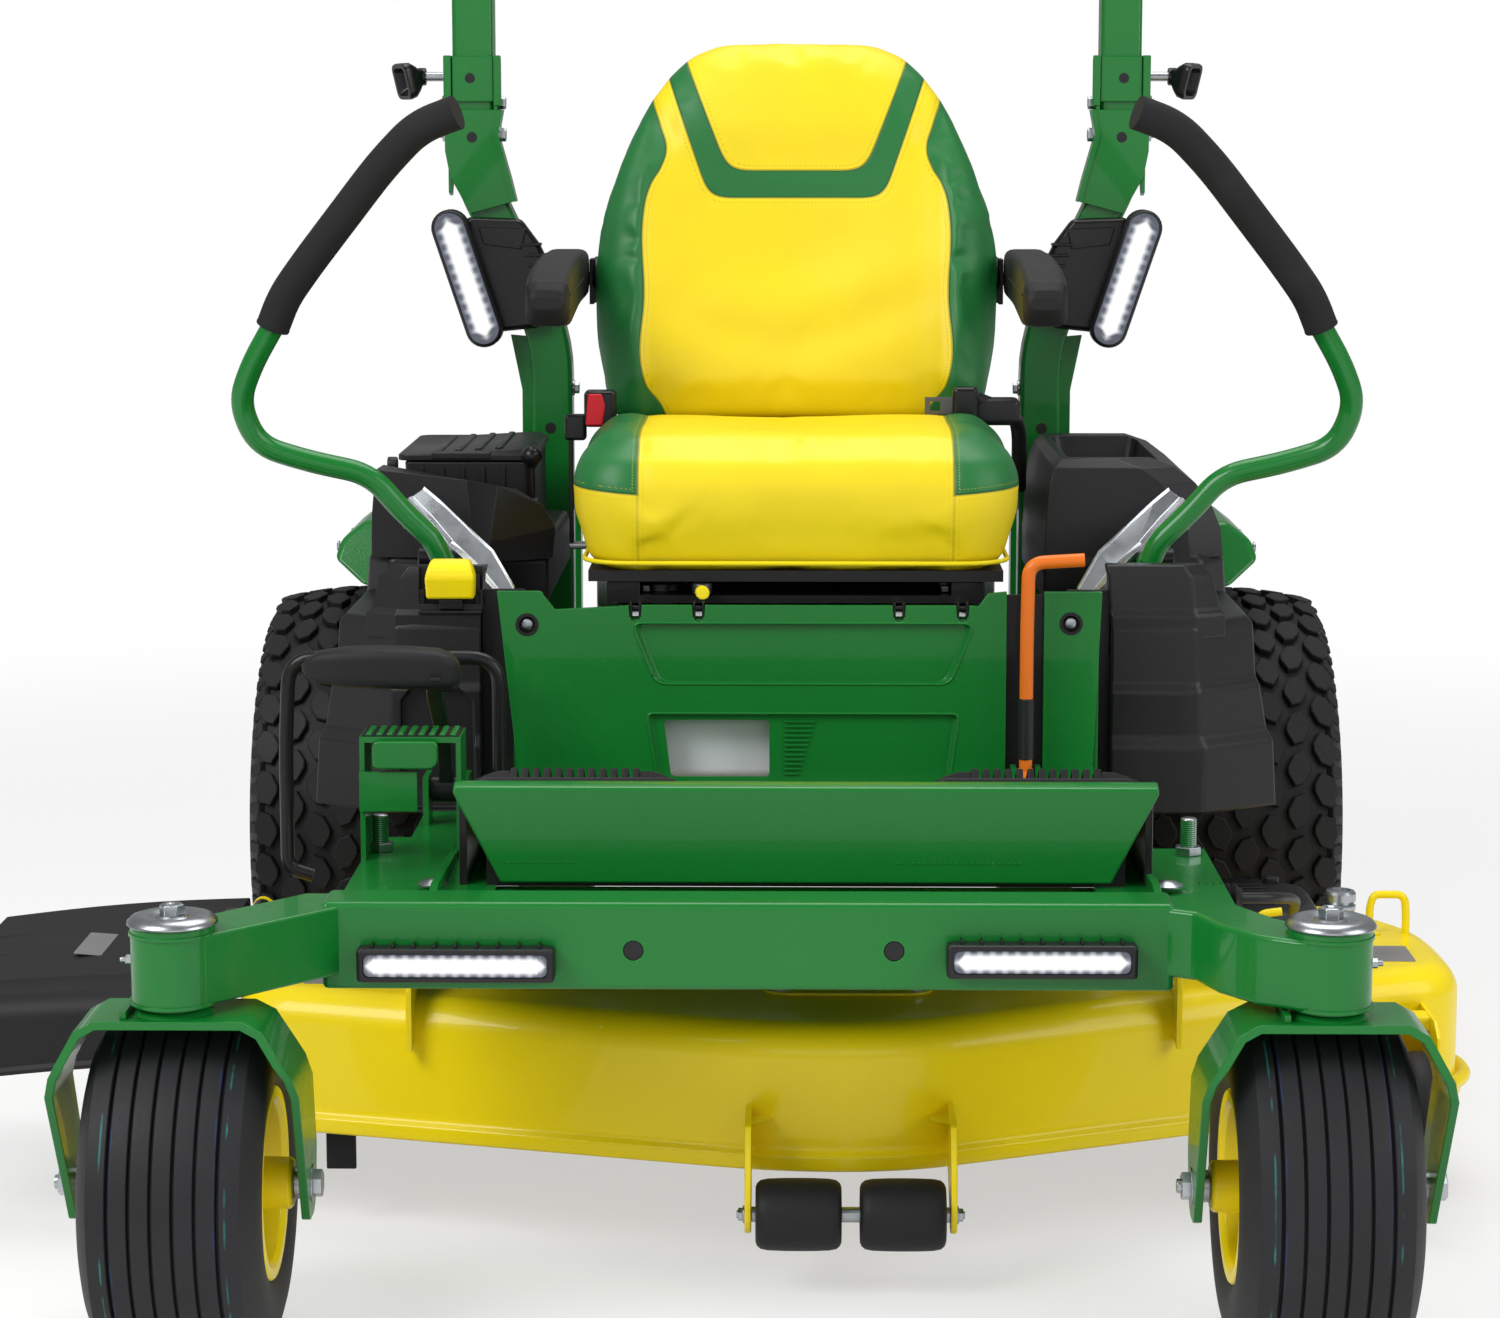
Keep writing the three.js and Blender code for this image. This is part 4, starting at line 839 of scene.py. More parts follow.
def footPad(low, high):
    width = high - low
    whole = plate("z", flatRound(-width / 2 - 4, width / 2 + 4, 2, pad["length"], 16), 0.6, pad["thick"],
                  2.4, 3)
    run = width - 66
    pitch = run / pad["teeth"]
    for i in range(pad["teeth"]):
        u = -run / 2 + pitch * (i + 0.5)
        whole.add(block(u - pitch * 0.31, u + pitch * 0.31, 6, pad["length"] - 8, pad["thick"] - 1,
                        pad["thick"] + pad["toothHigh"], 1.1))
    for s in (-1, 1):
        lobe = [(-12, pad["thick"] - 1), (-8, pad["thick"] + 3), (6, pad["thick"] + 8),
                (18, pad["thick"] + 8.5), (24, pad["thick"] - 1)]
        whole.add(plate("y", [(s * (width / 2 - 16 - u), v) for u, v in lobe], 8, pad["length"] - 10, 1.4))
    lift = boxOf("foot_pad_left")[1].z - 21.5
    tilt = Matrix.Rotation(math.radians(pad["slope"]), 4, "X")
    return whole.turned(Matrix.Translation(((low + high) / 2, pad["start"], lift - 3.5)) @ tilt)


for key, side in sides:
    low, high = boxOf("foot_pad_" + key)
    place(footPad(low.x, high.x), "ridged_pad_" + key, chassis, softRubber, "foot_pad_" + key, smooth=40)
lipFace = boxOf("footplate")[0].y
dots = Part()
for first, count in ((-282, 14), (98, 24)):
    for i in range(count):
        dots.add(axleRod("y", lipFace + 0.4, lipFace - 0.7, (first + i * 5.2, 430), 1.1, 0.3, 10))
place(dots, "lip_drain_dimples", chassis, greenPaint, smooth=50)
stay = [(262, 404), (262, 500), (276, 497), (430, 416), (430, 404)]
stays = group(plate("x", stay, -326, -318, 1.5), plate("x", stay, 338, 346, 1.5))
place(stays, "footplate_side_stays", chassis, blackPaint)
place(block(-300, 320, 262, 268, 404, 440, 1), "footplate_skirt", chassis, blackPaint)

panel = {"face": 660, "thick": 8, "top": 640, "lugs": (-172, -104, 111, 179)}
t = panel["top"]
outline = [(-306, 421), (-300, 452), (-320, t), *arc(-276, t - 6, 6, 90, 15, 3), (-258, t - 20),
           (-184, t - 16)]
for lug in panel["lugs"]:
    outline += [(lug - 7, t - 15), (lug - 6, t - 28), *arc(lug, t - 28, 5, 180, 360, 5),
                (lug + 6, t - 28), (lug + 7, t - 15)]
outline += [(196, t - 16), (206, t - 2), (226, t), (226, 430), (266, 430), (266, t), (328, t), (320, 452),
            (326, 421)]
sheetMetal = plate("y", outline, panel["face"], panel["face"] + panel["thick"], 0)


def recess(points, top, depth, draft):
    # a cutter whose walls lean in with depth
    middle = sum((Vector(p) for p in points), Vector((0, 0))) / len(points)
    rings = []
    for y, shrink in ((panel["face"] - 2, 0), (top, 0), (top + depth, draft)):
        ring = []
        for u, v in points:
            inward = (middle - Vector((u, v))).normalized() * shrink
            ring.append((u + inward.x, y, v + inward.y))
        rings.append(ring)
    return loft(rings)


def softCorners(points, radius, steps=5):
    # rounds the corners of a flat outline
    ring = []
    for corner in zip(points[-1:] + points[:-1], points, points[1:] + points[:1]):
        ring += [tuple(p) for p in bendAt(*corner, radius, steps)]
    return ring


upper = softCorners([(-150, 540), (166, 540), (192, 606), (-176, 606)], 12)
lower = softCorners([(-148, 430), (166, 430), (176, 508), (-160, 508)], 8)
window = softCorners([(-134, 438), (-28, 438), (-28, 500), (-142, 500)], 5)
sheetMetal = combine(sheetMetal, recess(upper, panel["face"], 6.4, 6))
sheetMetal = combine(sheetMetal, recess(lower, panel["face"], 5.6, 5))
sheetMetal = combine(sheetMetal, recess(window, panel["face"], 20, 0))
fixings = ((-288, 604), (295, 606))
for x, z in fixings:
    sheetMetal = combine(sheetMetal, axleRod("y", panel["face"] - 4, panel["face"] + 30, (x, z), 11, 0, 36))
place(sheetMetal, "front_panel_skin", "front_panel", greenPaint, "front_panel", 1.8, 3, smooth=40)
returns = group(block(-258, 200, 666, 692, 604, 609.6, 1.5), block(-304, -299, 668, 700, 440, t - 6, 1),
                block(321, 326, 668, 700, 440, t - 4, 1))
place(returns, "front_panel_returns", "front_panel", greenPaint)
cups, screws = Part(), Part()
for x, z in fixings:
    cups.add(lathe("y", (x, panel["face"], z), [(-0.6, 9), (-0.6, 12.4), (1.5, 12.4), (8, 11), (9, 10),
            (9, 0), (7.5, 0), (7.5, 8.6)], 36, closed=True))
    screws.add(lathe("y", (x, panel["face"], z), [(8, 0), (8, 7.6), (5, 7.6), (3.4, 6.6), (2.6, 4.6),
            (2.4, 0)], 36))
place(cups, "panel_bolt_cups", chassis, smoothPlastic, smooth=50)
place(screws, "panel_bolts", chassis, zincPlate, smooth=50)
lugs = Part()
for x in panel["lugs"]:
    for s in (-1, 1):
        lugs.add(block(x + s * 5 - 1.5, x + s * 5 + 1.5, panel["face"] + 4, panel["face"] + 24, t - 32,
                       t - 12, 1))
    lugs.add(axleRod("x", x - 9, x + 9, (panel["face"] + 14, t - 20), 3, 0.6, 16))
place(lugs, "panel_hinge_lugs", chassis, blackPaint)
# painted shade: black sheets behind the lever slot and along its sides stand in for the shade of the
# opening
slot = group(block(222, 270, 669, 673, 418, t - 4, 0.8), block(223, 226, 662, 672, 428, t - 3, 0.6),
             block(266, 269, 662, 672, 428, t - 3, 0.6))
place(slot, "lever_slot_painted_shade", chassis, blackPaint)
marks = Part()
for i in range(12):
    z = 440 + i * 5.2
    marks.add(block(-12, 4 + i * 1.6, panel["face"] + 3.2, panel["face"] + 4.6, z, z + 2.4, 0.5, 1))
place(marks, "fuel_level_marks", "front_panel", greenPaint)
frameLine = Part()
for points in (upper, lower):
    rim = [(u, panel["face"] + 0.2, v) for u, v in points]
    frameLine.add(tube(rim + rim[:2], 1.5, 0.5, 4))
place(frameLine, "recess_rolled_edges", "front_panel", greenPaint, smooth=80)
soften("fuel_tank", tankPlastic, 9, smooth=60)
tankTop = boxOf("fuel_tank")[1].z
capLine = [(0, 0), (0, 26), (10, 26), (12, 30), (30, 29), (34, 26), (35, 0)]
neck = lathe("z", (-150, 800, tankTop - 2), capLine, 48)
place(neck, "fuel_cap", chassis, smoothPlastic, bevel=1.5, smooth=50)
print("frame and front panel done")


# ---- side pods, console and the small controls ----
pod = {"low": 388, "step": 470, "top": 600, "inner": 343, "back": 980}


def sideRing(side, points, z):
    return [(side * x, y, z) for x, y in points]


def podTower(side):
    # rings from below: flared skirt, a step, a crease and the faceted upper part
    def ring(front, edge, corner, z):
        return sideRing(side, [(pod["inner"], front), (414, front - 3), (edge, front - 1),
                               (corner, front + 56), (corner - 1, pod["back"]),
                               (pod["inner"], pod["back"])], z)

    return loft([ring(713, 446, 533, pod["low"]), ring(710, 448, 528, pod["step"] - 8),
                 ring(715, 442, 521, pod["step"] + 4), ring(711, 440, 512, 524), ring(716, 438, 508, 532),
                 ring(719, 436, 504, 592), ring(723, 432, 497, pod["top"])])


def podCowl(side, top):
    def ring(front, inner, edge, corner, back, z):
        return sideRing(side, [(inner, front), (412, front - 1), (edge, front), (corner, front + 20),
                               (corner - 5, back), (inner, back)], z)

    return loft([ring(719, 343, 436, 470, 762, 580), ring(719, 343, 436, 470, 762, 606),
                 ring(722, 342, 434, 464, 760, 612), ring(724, 340, 430, 456, 757, top - 12),
                 ring(728, 337, 422, 442, 751, top)])


for key, side in sides:
    fender = "fender_" + key
    tower = podTower(side)
    if side < 0:
        arch = plate("y", [(-432, 392), (-430, 512), (-420, 526), (-366, 526), (-352, 512), (-350, 392)],
                     700, 724, 0)
        tower = combine(tower, arch)
    place(tower, "pod_tower_" + key, fender, blackPlastic, fender, 3.5, 3, angle=18, smooth=40)
    cowl = podCowl(side, 658 if side < 0 else 661)
    if side < 0:
        cowl = combine(cowl, block(-410, -341, 690, 736, 618, 690, 0))
    place(cowl, "pod_cowl_" + key, fender, blackPlastic, (), 3, 3, angle=18, smooth=40)
    place(block(side * 343, side * 350, 726, 760, 560, 650, 2), "pod_inner_web_" + key, fender,
          blackPlastic)
    place(block(side * 296, side * 346, 741, 746, 408, 632, 1.5), "pod_gap_plate_" + key, chassis,
          blackPlastic)

    back = boxOf("fender_" + key)[1].y
    shelf = loft([
        sideRing(side, [(285, 955), (470, 955), (500, 990), (500, back), (285, back)], 588),
        sideRing(side, [(285, 955), (468, 955), (496, 990), (496, back), (285, back)], 638),
        sideRing(side, [(289, 968), (455, 968), (480, 1000), (480, back), (289, back)], 652),
    ])
    place(shelf, "fender_shelf_" + key, fender, blackPlastic, (), 5, 3, angle=20, smooth=40)
    if side < 0:
        low = [(-280, 952, 640), (-347, 914, 640), (-376, 948, 640), (-489, 956, 640), (-492, 1046, 640),
               (-286, 1046, 640)]
        waist = [(-276, 950, 676), (-348, 912, 664), (-372, 947, 668), (-488, 957, 690),
                 (-490, 1046, 690), (-288, 1046, 684)]
        crest = [(-292, 966, 700), (-340, 922, 727), (-378, 954, 730), (-484, 962, 741),
                 (-484, 1044, 739), (-296, 1044, 704)]
        hump = combine(loft([low, waist, crest]), block(-327, -283, 968, 1048, 676, 800, 2))
    else:
        # bucket: its outer side rolls over in one long curve
        levels = [(640, 286, 494, 0), (672, 287, 491, 2), (700, 289, 480, 6), (724, 292, 462, 12),
                  (742, 297, 438, 20), (752, 306, 410, 30)]
        hump = loft([sideRing(side, [(inner, 958 + lean), (outer - 40, 958 + lean), (outer, 980 + lean),
                                     (outer, back - lean), (inner, back - lean)], z) for z, inner, outer,
                     lean in levels])
        hump = combine(hump, loft([sideRing(side, softCorners([(312, 1004), (424, 1008), (424, back - 60),
                (312, back - 60)], 16), 762), sideRing(side, softCorners([(322, 1024), (416, 1026),
                (416, back - 76), (322, back - 76)], 16), 716)]))
    place(hump, "fender_hump_" + key, fender, blackPlastic, (), 2 if side < 0 else 5, 3, angle=12,
          smooth=30)
    trim = loft([sideRing(side, [(470, 1100), (516, 1100), (522, back), (470, back)], 588),
                 sideRing(side, [(470, 1116), (553, 1122), (555, back), (470, back)], 618),
                 sideRing(side, [(472, 1128), (546, 1134), (548, back - 8), (472, back - 8)], 640),
                 sideRing(side, [(478, 1140), (518, 1146), (520, back - 20), (478, back - 20)], 662)])
    place(trim, "fender_trim_" + key, fender, greenPaint, (), 6, 4, angle=12, smooth=50)
    screw = Part()
    for y in (1180, back - 40):
        screw.add(lathe("x", (side * 554, y, 626), [(0, 0), (0, 7), (side * 1.6, 7), (side * 3, 5),
                (side * 3.4, 0)], 28))
    place(screw, "trim_screws_" + key, fender, zincPlate, smooth=50)
    place(block(side * 500, side * 506, back - 60, back + 1, 596, 640, 2), "fender_mud_flap_" + key,
          fender, softRubber)

boxLow, boxHigh = boxOf("console_box")
console = loft([[(x, y, z) for x, y in flatRound(boxLow.x + left, boxHigh.x, boxLow.y, boxHigh.y, 8)]
                for left, z in ((26, boxLow.z), (18, boxLow.z + 30), (14, boxHigh.z))])
place(console, "console_box_skin", "console_box", blackPlastic, "console_box", 2.5, 3, angle=20)
lidLow, lidHigh = boxOf("console_lid")
lid = loft([[(x, y, lidLow.z) for x, y in flatRound(lidLow.x + 10, lidHigh.x, lidLow.y, lidHigh.y, 14)],
            [(x, y, lidLow.z + 7) for x, y in flatRound(lidLow.x + 10, lidHigh.x, lidLow.y, lidHigh.y,
        14)], [(x, y, lidHigh.z - 4 + (x - lidHigh.x) * 0.06) for x,
               y in flatRound(lidLow.x + 40, lidHigh.x - 10, lidLow.y + 14, lidHigh.y - 8, 14)]])
for i in range(4):
    x = lidLow.x + 50 + i * 24
    lid.add(block(x, x + 8, lidLow.y + 40, lidHigh.y - 24, lidHigh.z - 12,
                  lidHigh.z - 0.8 + (x - lidHigh.x) * 0.06, 1.5))
lid.add(block(lidLow.x + 50, lidHigh.x - 50, lidLow.y - 1, lidLow.y + 18, lidLow.z + 1, lidLow.z + 10, 2))
place(lid, "console_lid_ribbed", "console_lid", blackPlastic, "console_lid", 1.6, 2, smooth=40)
ribs = Part()
for i in range(5):
    x = boxLow.x + 32 + i * 24
    ribs.add(block(x, x + 5, boxLow.y - 3, boxLow.y + 1, boxLow.z + 6, boxHigh.z - 6, 1))
place(ribs, "console_front_ribs", "console_box", blackPlastic)
catchKnob = axleRod("x", boxLow.x - 10, boxLow.x + 2, (1090, 735), 9, 2, 24)
place(catchKnob, "console_catch", "console_box", blackPlastic)

low, high = boxOf("yellow_latch")
tab = loft([[(low.x + inset, front, z), (high.x - inset, front, z), (high.x - inset, 730, z),
             (low.x + inset, 730, z)] for inset, front, z in ((1, 707, low.z), (0, 701, low.z + 24),
        (3, 704, high.z - 8), (6, 712, high.z))])
place(tab, "latch_tab", "yellow_latch", yellowPlastic, "yellow_latch", 3, 3, angle=14, smooth=45)
pocket = group(block(-411, -341, 734, 740, 610, 657, 1.5), block(-411, -404, 723, 739, 610, 634, 1.5),
               block(-347, -340, 723, 739, 610, 634, 1.5), block(-411, -341, 716, 739, 606, 612, 2))
place(pocket, "latch_pocket", chassis, smoothPlastic)
place(block(-388, -362, 712, 728, 613, 624.5, 1.5), "latch_hook", "yellow_latch", smoothPlastic)

low, high = boxOf("throttle_lever")
spot = (low + high) / 2
knob = lathe("z", (spot.x, spot.y, 0), [(686, 0), (686, 3.6), (738, 3.6), (740, 6), (743, 8), (747, 11),
                                        (752, 12.6), (757, 11.6), (761, 8.6), (763.6, 4), (764, 0)], 40)
place(knob, "throttle_ball", "throttle_lever", smoothPlastic, smooth=70)
place(lathe("x", (spot.x, spot.y, 694), [(-7, 0), (-7, 9), (-6, 10), (6, 10), (7, 9), (7, 0)], 32),
      "throttle_hub", "throttle_lever", darkSteel, "throttle_lever")
gate = combine(block(spot.x - 18, spot.x + 18, spot.y - 48, spot.y + 30, 652, 682, 2),
               block(spot.x - 9, spot.x + 9, spot.y - 39, spot.y + 22, 640, 700, 1))
place(gate, "throttle_gate", chassis, blackPlastic)

# parking brake: one bent bar on a hub
low, high = boxOf("brake_lever")
brakeX, brakeY, brakeZ = 246, 630, 442
brakeBar = tube([(brakeX, brakeY, 527), (brakeX, brakeY, 600), (brakeX + 1, brakeY, 675),
                 (high.x - 1, brakeY, 678.5)], 7.3, 17, 6)
brakeBar.add(axleRod("z", brakeZ + 4, 470, (brakeX, brakeY), 7, 1, 28))
place(brakeBar, "brake_bar", "brake_lever", orangePaint, "brake_lever", smooth=50)
place(axleRod("z", 464, 530, (brakeX, brakeY), 8.4, 1.5, 28), "brake_sleeve", "brake_lever", blackPlastic)
place(axleRod("x", brakeX - 9, brakeX + 9, (brakeY, brakeZ), 12, 1, 32), "brake_hub", "brake_lever",
      orangePaint)

# deck lift pedal: padded foot bar on a bent arm
pedalX, pedalY, pedalZ = -370, 602, 436
arm = plate("x", ribbon([(pedalY, pedalZ), (pedalY - 16, pedalZ + 36), (pedalY - 34, pedalZ + 66),
                         (486, 556), (464, 588)], 14), pedalX - 8, pedalX + 8, 2)
arm.add(axleRod("x", pedalX - 17, pedalX + 17, (pedalY, pedalZ), 14, 1, 32))
place(arm, "pedal_arm", "lift_pedal", blackPaint, "lift_pedal")
spine = [(-501, 590, 3), (-496, 590, 9), (-482, 591, 16), (-456, 591, 20), (-420, 591, 21),
         (-385, 590, 21), (-362, 589, 20), (-349, 587, 17), (-342, 585, 11), (-340, 584, 5)]
rings = []
for x, z, half in spine:
    rings.append([(x, 448 + u * 1.15, z + v) for u, v in softCorners([(-half, -half), (half, -half),
            (half, half * 0.7), (half * 0.5, half), (-half, half)], half * 0.55, 4)])
footBar = loft(rings)
place(footBar, "pedal_foot_pad", "lift_pedal", softRubber, (), 0, smooth=60)
place(group(axleRod("z", 570, 590, (-383, 452), 12, 2, 20), block(-376, -342, 434, 470, 566, 584, 6, 3)),
      "pedal_pad_boss", "lift_pedal", softRubber)
slotPlate = block(-368, -357, 414, 420, 581, 585, 1)
place(slotPlate, "pedal_pad_clip", "lift_pedal", smoothPlastic)

grip = Part()
for i in range(9):
    for j in range(5):
        x, y = -432 + i * 10.6, 401 + j * 11
        grip.add(block(x, x + 6, y, y + 5, 526.5, 530, 0.9, 1))
place(grip, "step_grip_teeth", chassis, greenPaint)
place(block(-436, -338, 399, 455, 526.6, 528.2, 0.5), "step_grip_plate", chassis, blackPaint)
stepPad = plate("y", softCorners([(-424, 496), (-364, 496), (-358, 502), (-358, 524), (-424, 524)], 7),
                386, 392, 2, 3)
place(stepPad, "step_inner_pad", chassis, greenPaint)
guard = tube([(-314, 600, 432), (-314, 600, 577), (-536, 600, 577), (-541, 600, 480), (-541, 600, 350),
              (-514, 600, 342)], 7.6, 30, 5)
place(guard, "pedal_guard_bar", chassis, blackPaint, smooth=50)
print("pods and controls done")


# ---- steering levers and their leaning brackets ----
lever = {"tube": 12.5, "grip": 18.5, "hipX": 392, "hipY": 856, "hipZ": 652}


def leverRoute(side):
    spots = [(392, 806, 654), (402, 804, 678), (436, 802, 711), (470, 798, 752), (540, 789, 768),
             (592, 779, 786), (609, 768, 834), (592, 753, 876), (566, 742, 919)]
    return [(side * x, y, z) for x, y, z in spots]


def gripRoute(side):
    spots = [(567, 742.3, 917), (553, 736, 950), (526, 724, 986), (440, 690, 1092), (400, 680, 1132),
             (357.5, 671.6, 1147.5)]
    return [(side * x, y, z) for x, y, z in spots]


for key, side in sides:
    home = "lever_" + key
    route = tube(leverRoute(side), lever["tube"], 32, 7)
    route.add(axleRod("y", 800, 821.6, (side * lever["hipX"], lever["hipZ"]), 13.5, 1.5, 32))
    place(route, "lever_tube_" + key, home, greenPaint, "lever_" + key, smooth=60)
    foam = tube(gripRoute(side), lever["grip"], 40, 8)
    ends = [e for e in foam.bm.edges if any(len(f.verts) > 8 for f in e.link_faces)]
    foam.rounded(ends, 3, 3)
    place(foam, "foam_grip_" + key, home, foamGrip, "grip_" + key, smooth=50)
    bands = Part()
    path = bentPath(gripRoute(side), 40)
    for start, other in ((path[0], path[1]), (path[-1], path[-2])):
        inward = (other - start).normalized()
        bands.add(rod(start + inward * 1.0, start + inward * 2.4, lever["grip"] + 0.25, 0.4, 40))
    place(bands, "grip_end_bands_" + key, home, foamGrip, smooth=50)

    rocker = "lever_bracket_" + key
    # folded zinc strap: a flat, a rounded fold along its outer third and a turned edge
    stations = [((440, 878, 714), (421, 881, 727)), ((413, 856, 688), (402, 870, 713)),
                ((391, 833, 662), (374, 851, 690)), ((361, 813, 638), (339, 831, 661)),
                ((331, 799, 612), (313, 802, 623))]
    rings = []
    for outer, inner in stations:
        outer, inner = Vector(outer), Vector(inner)
        fold, flat = outer.lerp(inner, 0.22) + Vector((0, -6, 2)), outer.lerp(inner,
                0.42) + Vector((0, -1, 0))
        front = [outer, fold, flat, inner, inner + Vector((-1, 5, 3))]
        rings.append([(side * x, y, z) for x, y, z in [*front, *[p + Vector((0, 3, -1))
                for p in reversed(front)]]])
    place(loft(rings), "lever_strap_" + key, rocker, zincPlate, "lever_bracket_" + key, 0.6, 2, smooth=50)
    x0, x1 = sorted((side * 366, side * 424))
    hub = lathe("x", (0, lever["hipY"], lever["hipZ"]), [(x0, 0), (x0, 11), (x0 + 1.5, 12.6),
            (x1 - 1.5, 12.6), (x1, 11), (x1, 0)], 40)
    hub.add(axleRod("y", 823, 846, (side * lever["hipX"], lever["hipZ"]), 10.5, 1, 28))
    place(hub, "lever_pivot_tube_" + key, rocker, blackPaint, smooth=45)
    screws = group(bolt((side * lever["hipX"], 824.5, lever["hipZ"]), (0, -1, 0), 5, washer=False),
                   bolt((side * 437, 868, 690), (side * 0.6, -0.7, 0.3), 6))
    place(screws, "lever_strap_bolts_" + key, rocker, zincPlate, smooth=30)
    damperX = side * 352
    place(rod((damperX, 860, 640), (damperX, 940, 610), 9, 1.5, 28), "lever_damper_" + key, chassis,
          blackPaint)
    place(rod((damperX, 938, 611), (damperX, 978, 596), 4, 0.6, 20), "lever_damper_rod_" + key, chassis,
          zincPlate)
print("levers done")


# ---- roll bar ----
bar = {"half": 25.5, "foot": 309, "top": 405, "leanLow": 864, "leanHigh": 1066, "pinHole": 6.8}
hoopLow, hoopHigh = boxOf("rops_hoop")
barY = (hoopLow.y + hoopHigh.y) / 2
hinge = hoopLow.z + 23
pinZ = hinge + 32


def squareTube(points, wall, radius, turnSize):
    # square pipe with rounded edges swept through flat bends in the XZ plane
    outline = ribbon([(p.x, p.z) for p in bentPath([(x, 0, z) for x, z in points], turnSize, 5)], 2 * wall)
    return plate("y", outline, barY - wall, barY + wall, radius, 3)


wall, foot, topX = bar["half"], bar["foot"], bar["top"]
for key, side in sides:
    home = "rops_lower"
    route = [(side * foot, 405.6), (side * foot, bar["leanLow"]), (side * topX, bar["leanHigh"]),
             (side * topX, hinge - 40)]
    post = squareTube(route, wall, 6, 46)
    place(post, "roll_bar_post_" + key, home, greenPaint, "rops_lower" if side < 0 else (), smooth=40)
    # clamp: two flanged cheeks that follow the lean, a front plate and the pivot bolts
    x = side * topX
    face = barY - wall - 9.4
    cheeks = Part()
    bore = axleRod("x", side * (topX + 20), side * (topX + 50), (barY, pinZ), bar["pinHole"], 0, 28)
    for s in (-1, 1):
        inner, outer = x + s * (wall + 0.9), x + s * (wall + 5.6)
        cheek = [(face + 2, 1048), (face + 2, 1210), *arc(face + 9, 1211, 7, 180, 90, 3),
                 *arc(barY + 25, 1210, 8, 90, 0, 3), (barY + 33, 1096), (barY + 12, 1078),
                 (barY - 20, 1044)]
        cheeks.add(combine(plate("x", cheek, min(inner, outer), max(inner, outer), 1.2), bore))
        cheeks.add(block(x + s * (wall + 0.9), x + s * (wall + 10.5), face, face + 3.4, 1156, 1218, 1.4))
    # the plate's outer edge runs straight down, its inner edge flares over the lean
    shield = [(440, 1151), (370, 1151), (376, 1120), (361, 1066), (354, 1037), (409, 1022), (434, 1068),
              (440, 1100)]
    cheeks.add(plate("y", sided(side, shield), face, face + 2.8, 1.2))
    flare = [(370, 1151), (376, 1120), (361, 1066), (354, 1037)]
    webs = [[(side * (u + step), y, v) for step, y in ((-3, face - 2.5), (3.4, face - 2.5),
            (3.4, barY + 18), (-1, barY + 18))] for u, v in flare]
    for first, second in zip(webs, webs[1:]):
        cheeks.add(loft([first, second]))
    cheeks.add(combine(block(x + side * (wall + 5), x + side * (wall + 8.4), barY - 14, barY + 14, 1174,
                             1210, 1.4), bore))
    place(cheeks, "roll_bar_clamp_" + key, home, greenPaint, smooth=35)
    fixings = Part()
    for z in (hinge, 1120):
        for s in (-1, 1):
            fixings.add(bolt((x + s * (wall + 5.8), barY - 8, z), (s, 0, 0), 9, 7, stud=5
                             if s * side > 0 else 0))
    place(fixings, "roll_bar_clamp_bolts_" + key, home, zincPlate, smooth=30)
    # painted shade: flat black discs on the clamp plate and the post stand in for the shade inside blind
    # holes
    holes = group(axleRod("y", face - 0.4, face + 1, (side * 406, 1117), 6.6, 0.3),
                  axleRod("y", barY - wall - 0.4, barY - wall + 1, (side * (foot + 2), 752), 7, 0.3))
    place(holes, "roll_bar_blind_holes_" + key, home, blackPlastic)
    gusset = plate("y", [(side * (foot + 22), 640), (side * (foot + 38), 660), (side * (foot + 38), 800),
                         (side * (foot + 52), 870), (side * (foot + 30), 868), (side * (foot + 22), 840)],
                   barY - 20, barY - 15, 1.2)
    place(gusset, "roll_bar_gusset_" + key, home, greenPaint)
    mount = group(*[bolt((side * foot + s * (wall + 0.6), barY - 6, z), (s, 0, 0), 8, 6)
                    for z in (752, 802) for s in (-1, 1)])
    place(mount, "roll_bar_post_bolts_" + key, home, zincPlate, smooth=30)
    boot = block(side * foot - 40, side * foot + 40, barY - 38, barY + 38, 405.6, 414, 3)
    for s, u in ((-1, -1), (-1, 1), (1, -1), (1, 1)):
        boot.add(bolt((side * foot + s * 32, barY + u * 30, 414), (0, 0, 1), 7))
    place(boot, "roll_bar_foot_" + key, home, greenPaint, smooth=30)

    # pull knob on its lock pin
    pin = "rops_pin_" + key
    stem = axleRod("x", side * (topX + wall + 1.4), side * (topX + wall + 46), (barY, pinZ), 5.8, 0.8, 28)
    place(stem, "lock_pin_stem_" + key, pin, zincPlate, "rops_pin_" + key)
    # moulded grip: a squarish bell, open at its end, that leans to the front
    gripRings = [(0, 10, 10), (5, 11, 11), (10, 15, 16), (18, 20, 22), (26, 21, 23), (29, 20, 22),
                 (29, 15.6, 17.6), (26, 14.6, 16.6), (16, 11, 12), (12, 8, 8)]
    grip = loft([[(side * a, u, v) for u, v in flatRound(-across, across, -tall, tall,
            min(across, tall) * 0.45, 4)] for a, across, tall in gripRings])
    lean = Matrix.Rotation(math.radians(side * -30), 4, "Z") @ Matrix.Rotation(math.radians(side * 14), 4,
            "Y")
    grip.turned(Matrix.Translation((side * (topX + wall + 41), barY, pinZ)) @ lean)
    place(grip, "lock_pin_grip_" + key, pin, smoothPlastic, smooth=40)
    collar = axleRod("x", side * (topX + wall + 35), side * (topX + wall + 46), (barY, pinZ), 11, 1.5, 32)
    place(collar, "lock_pin_collar_" + key, pin, smoothPlastic)

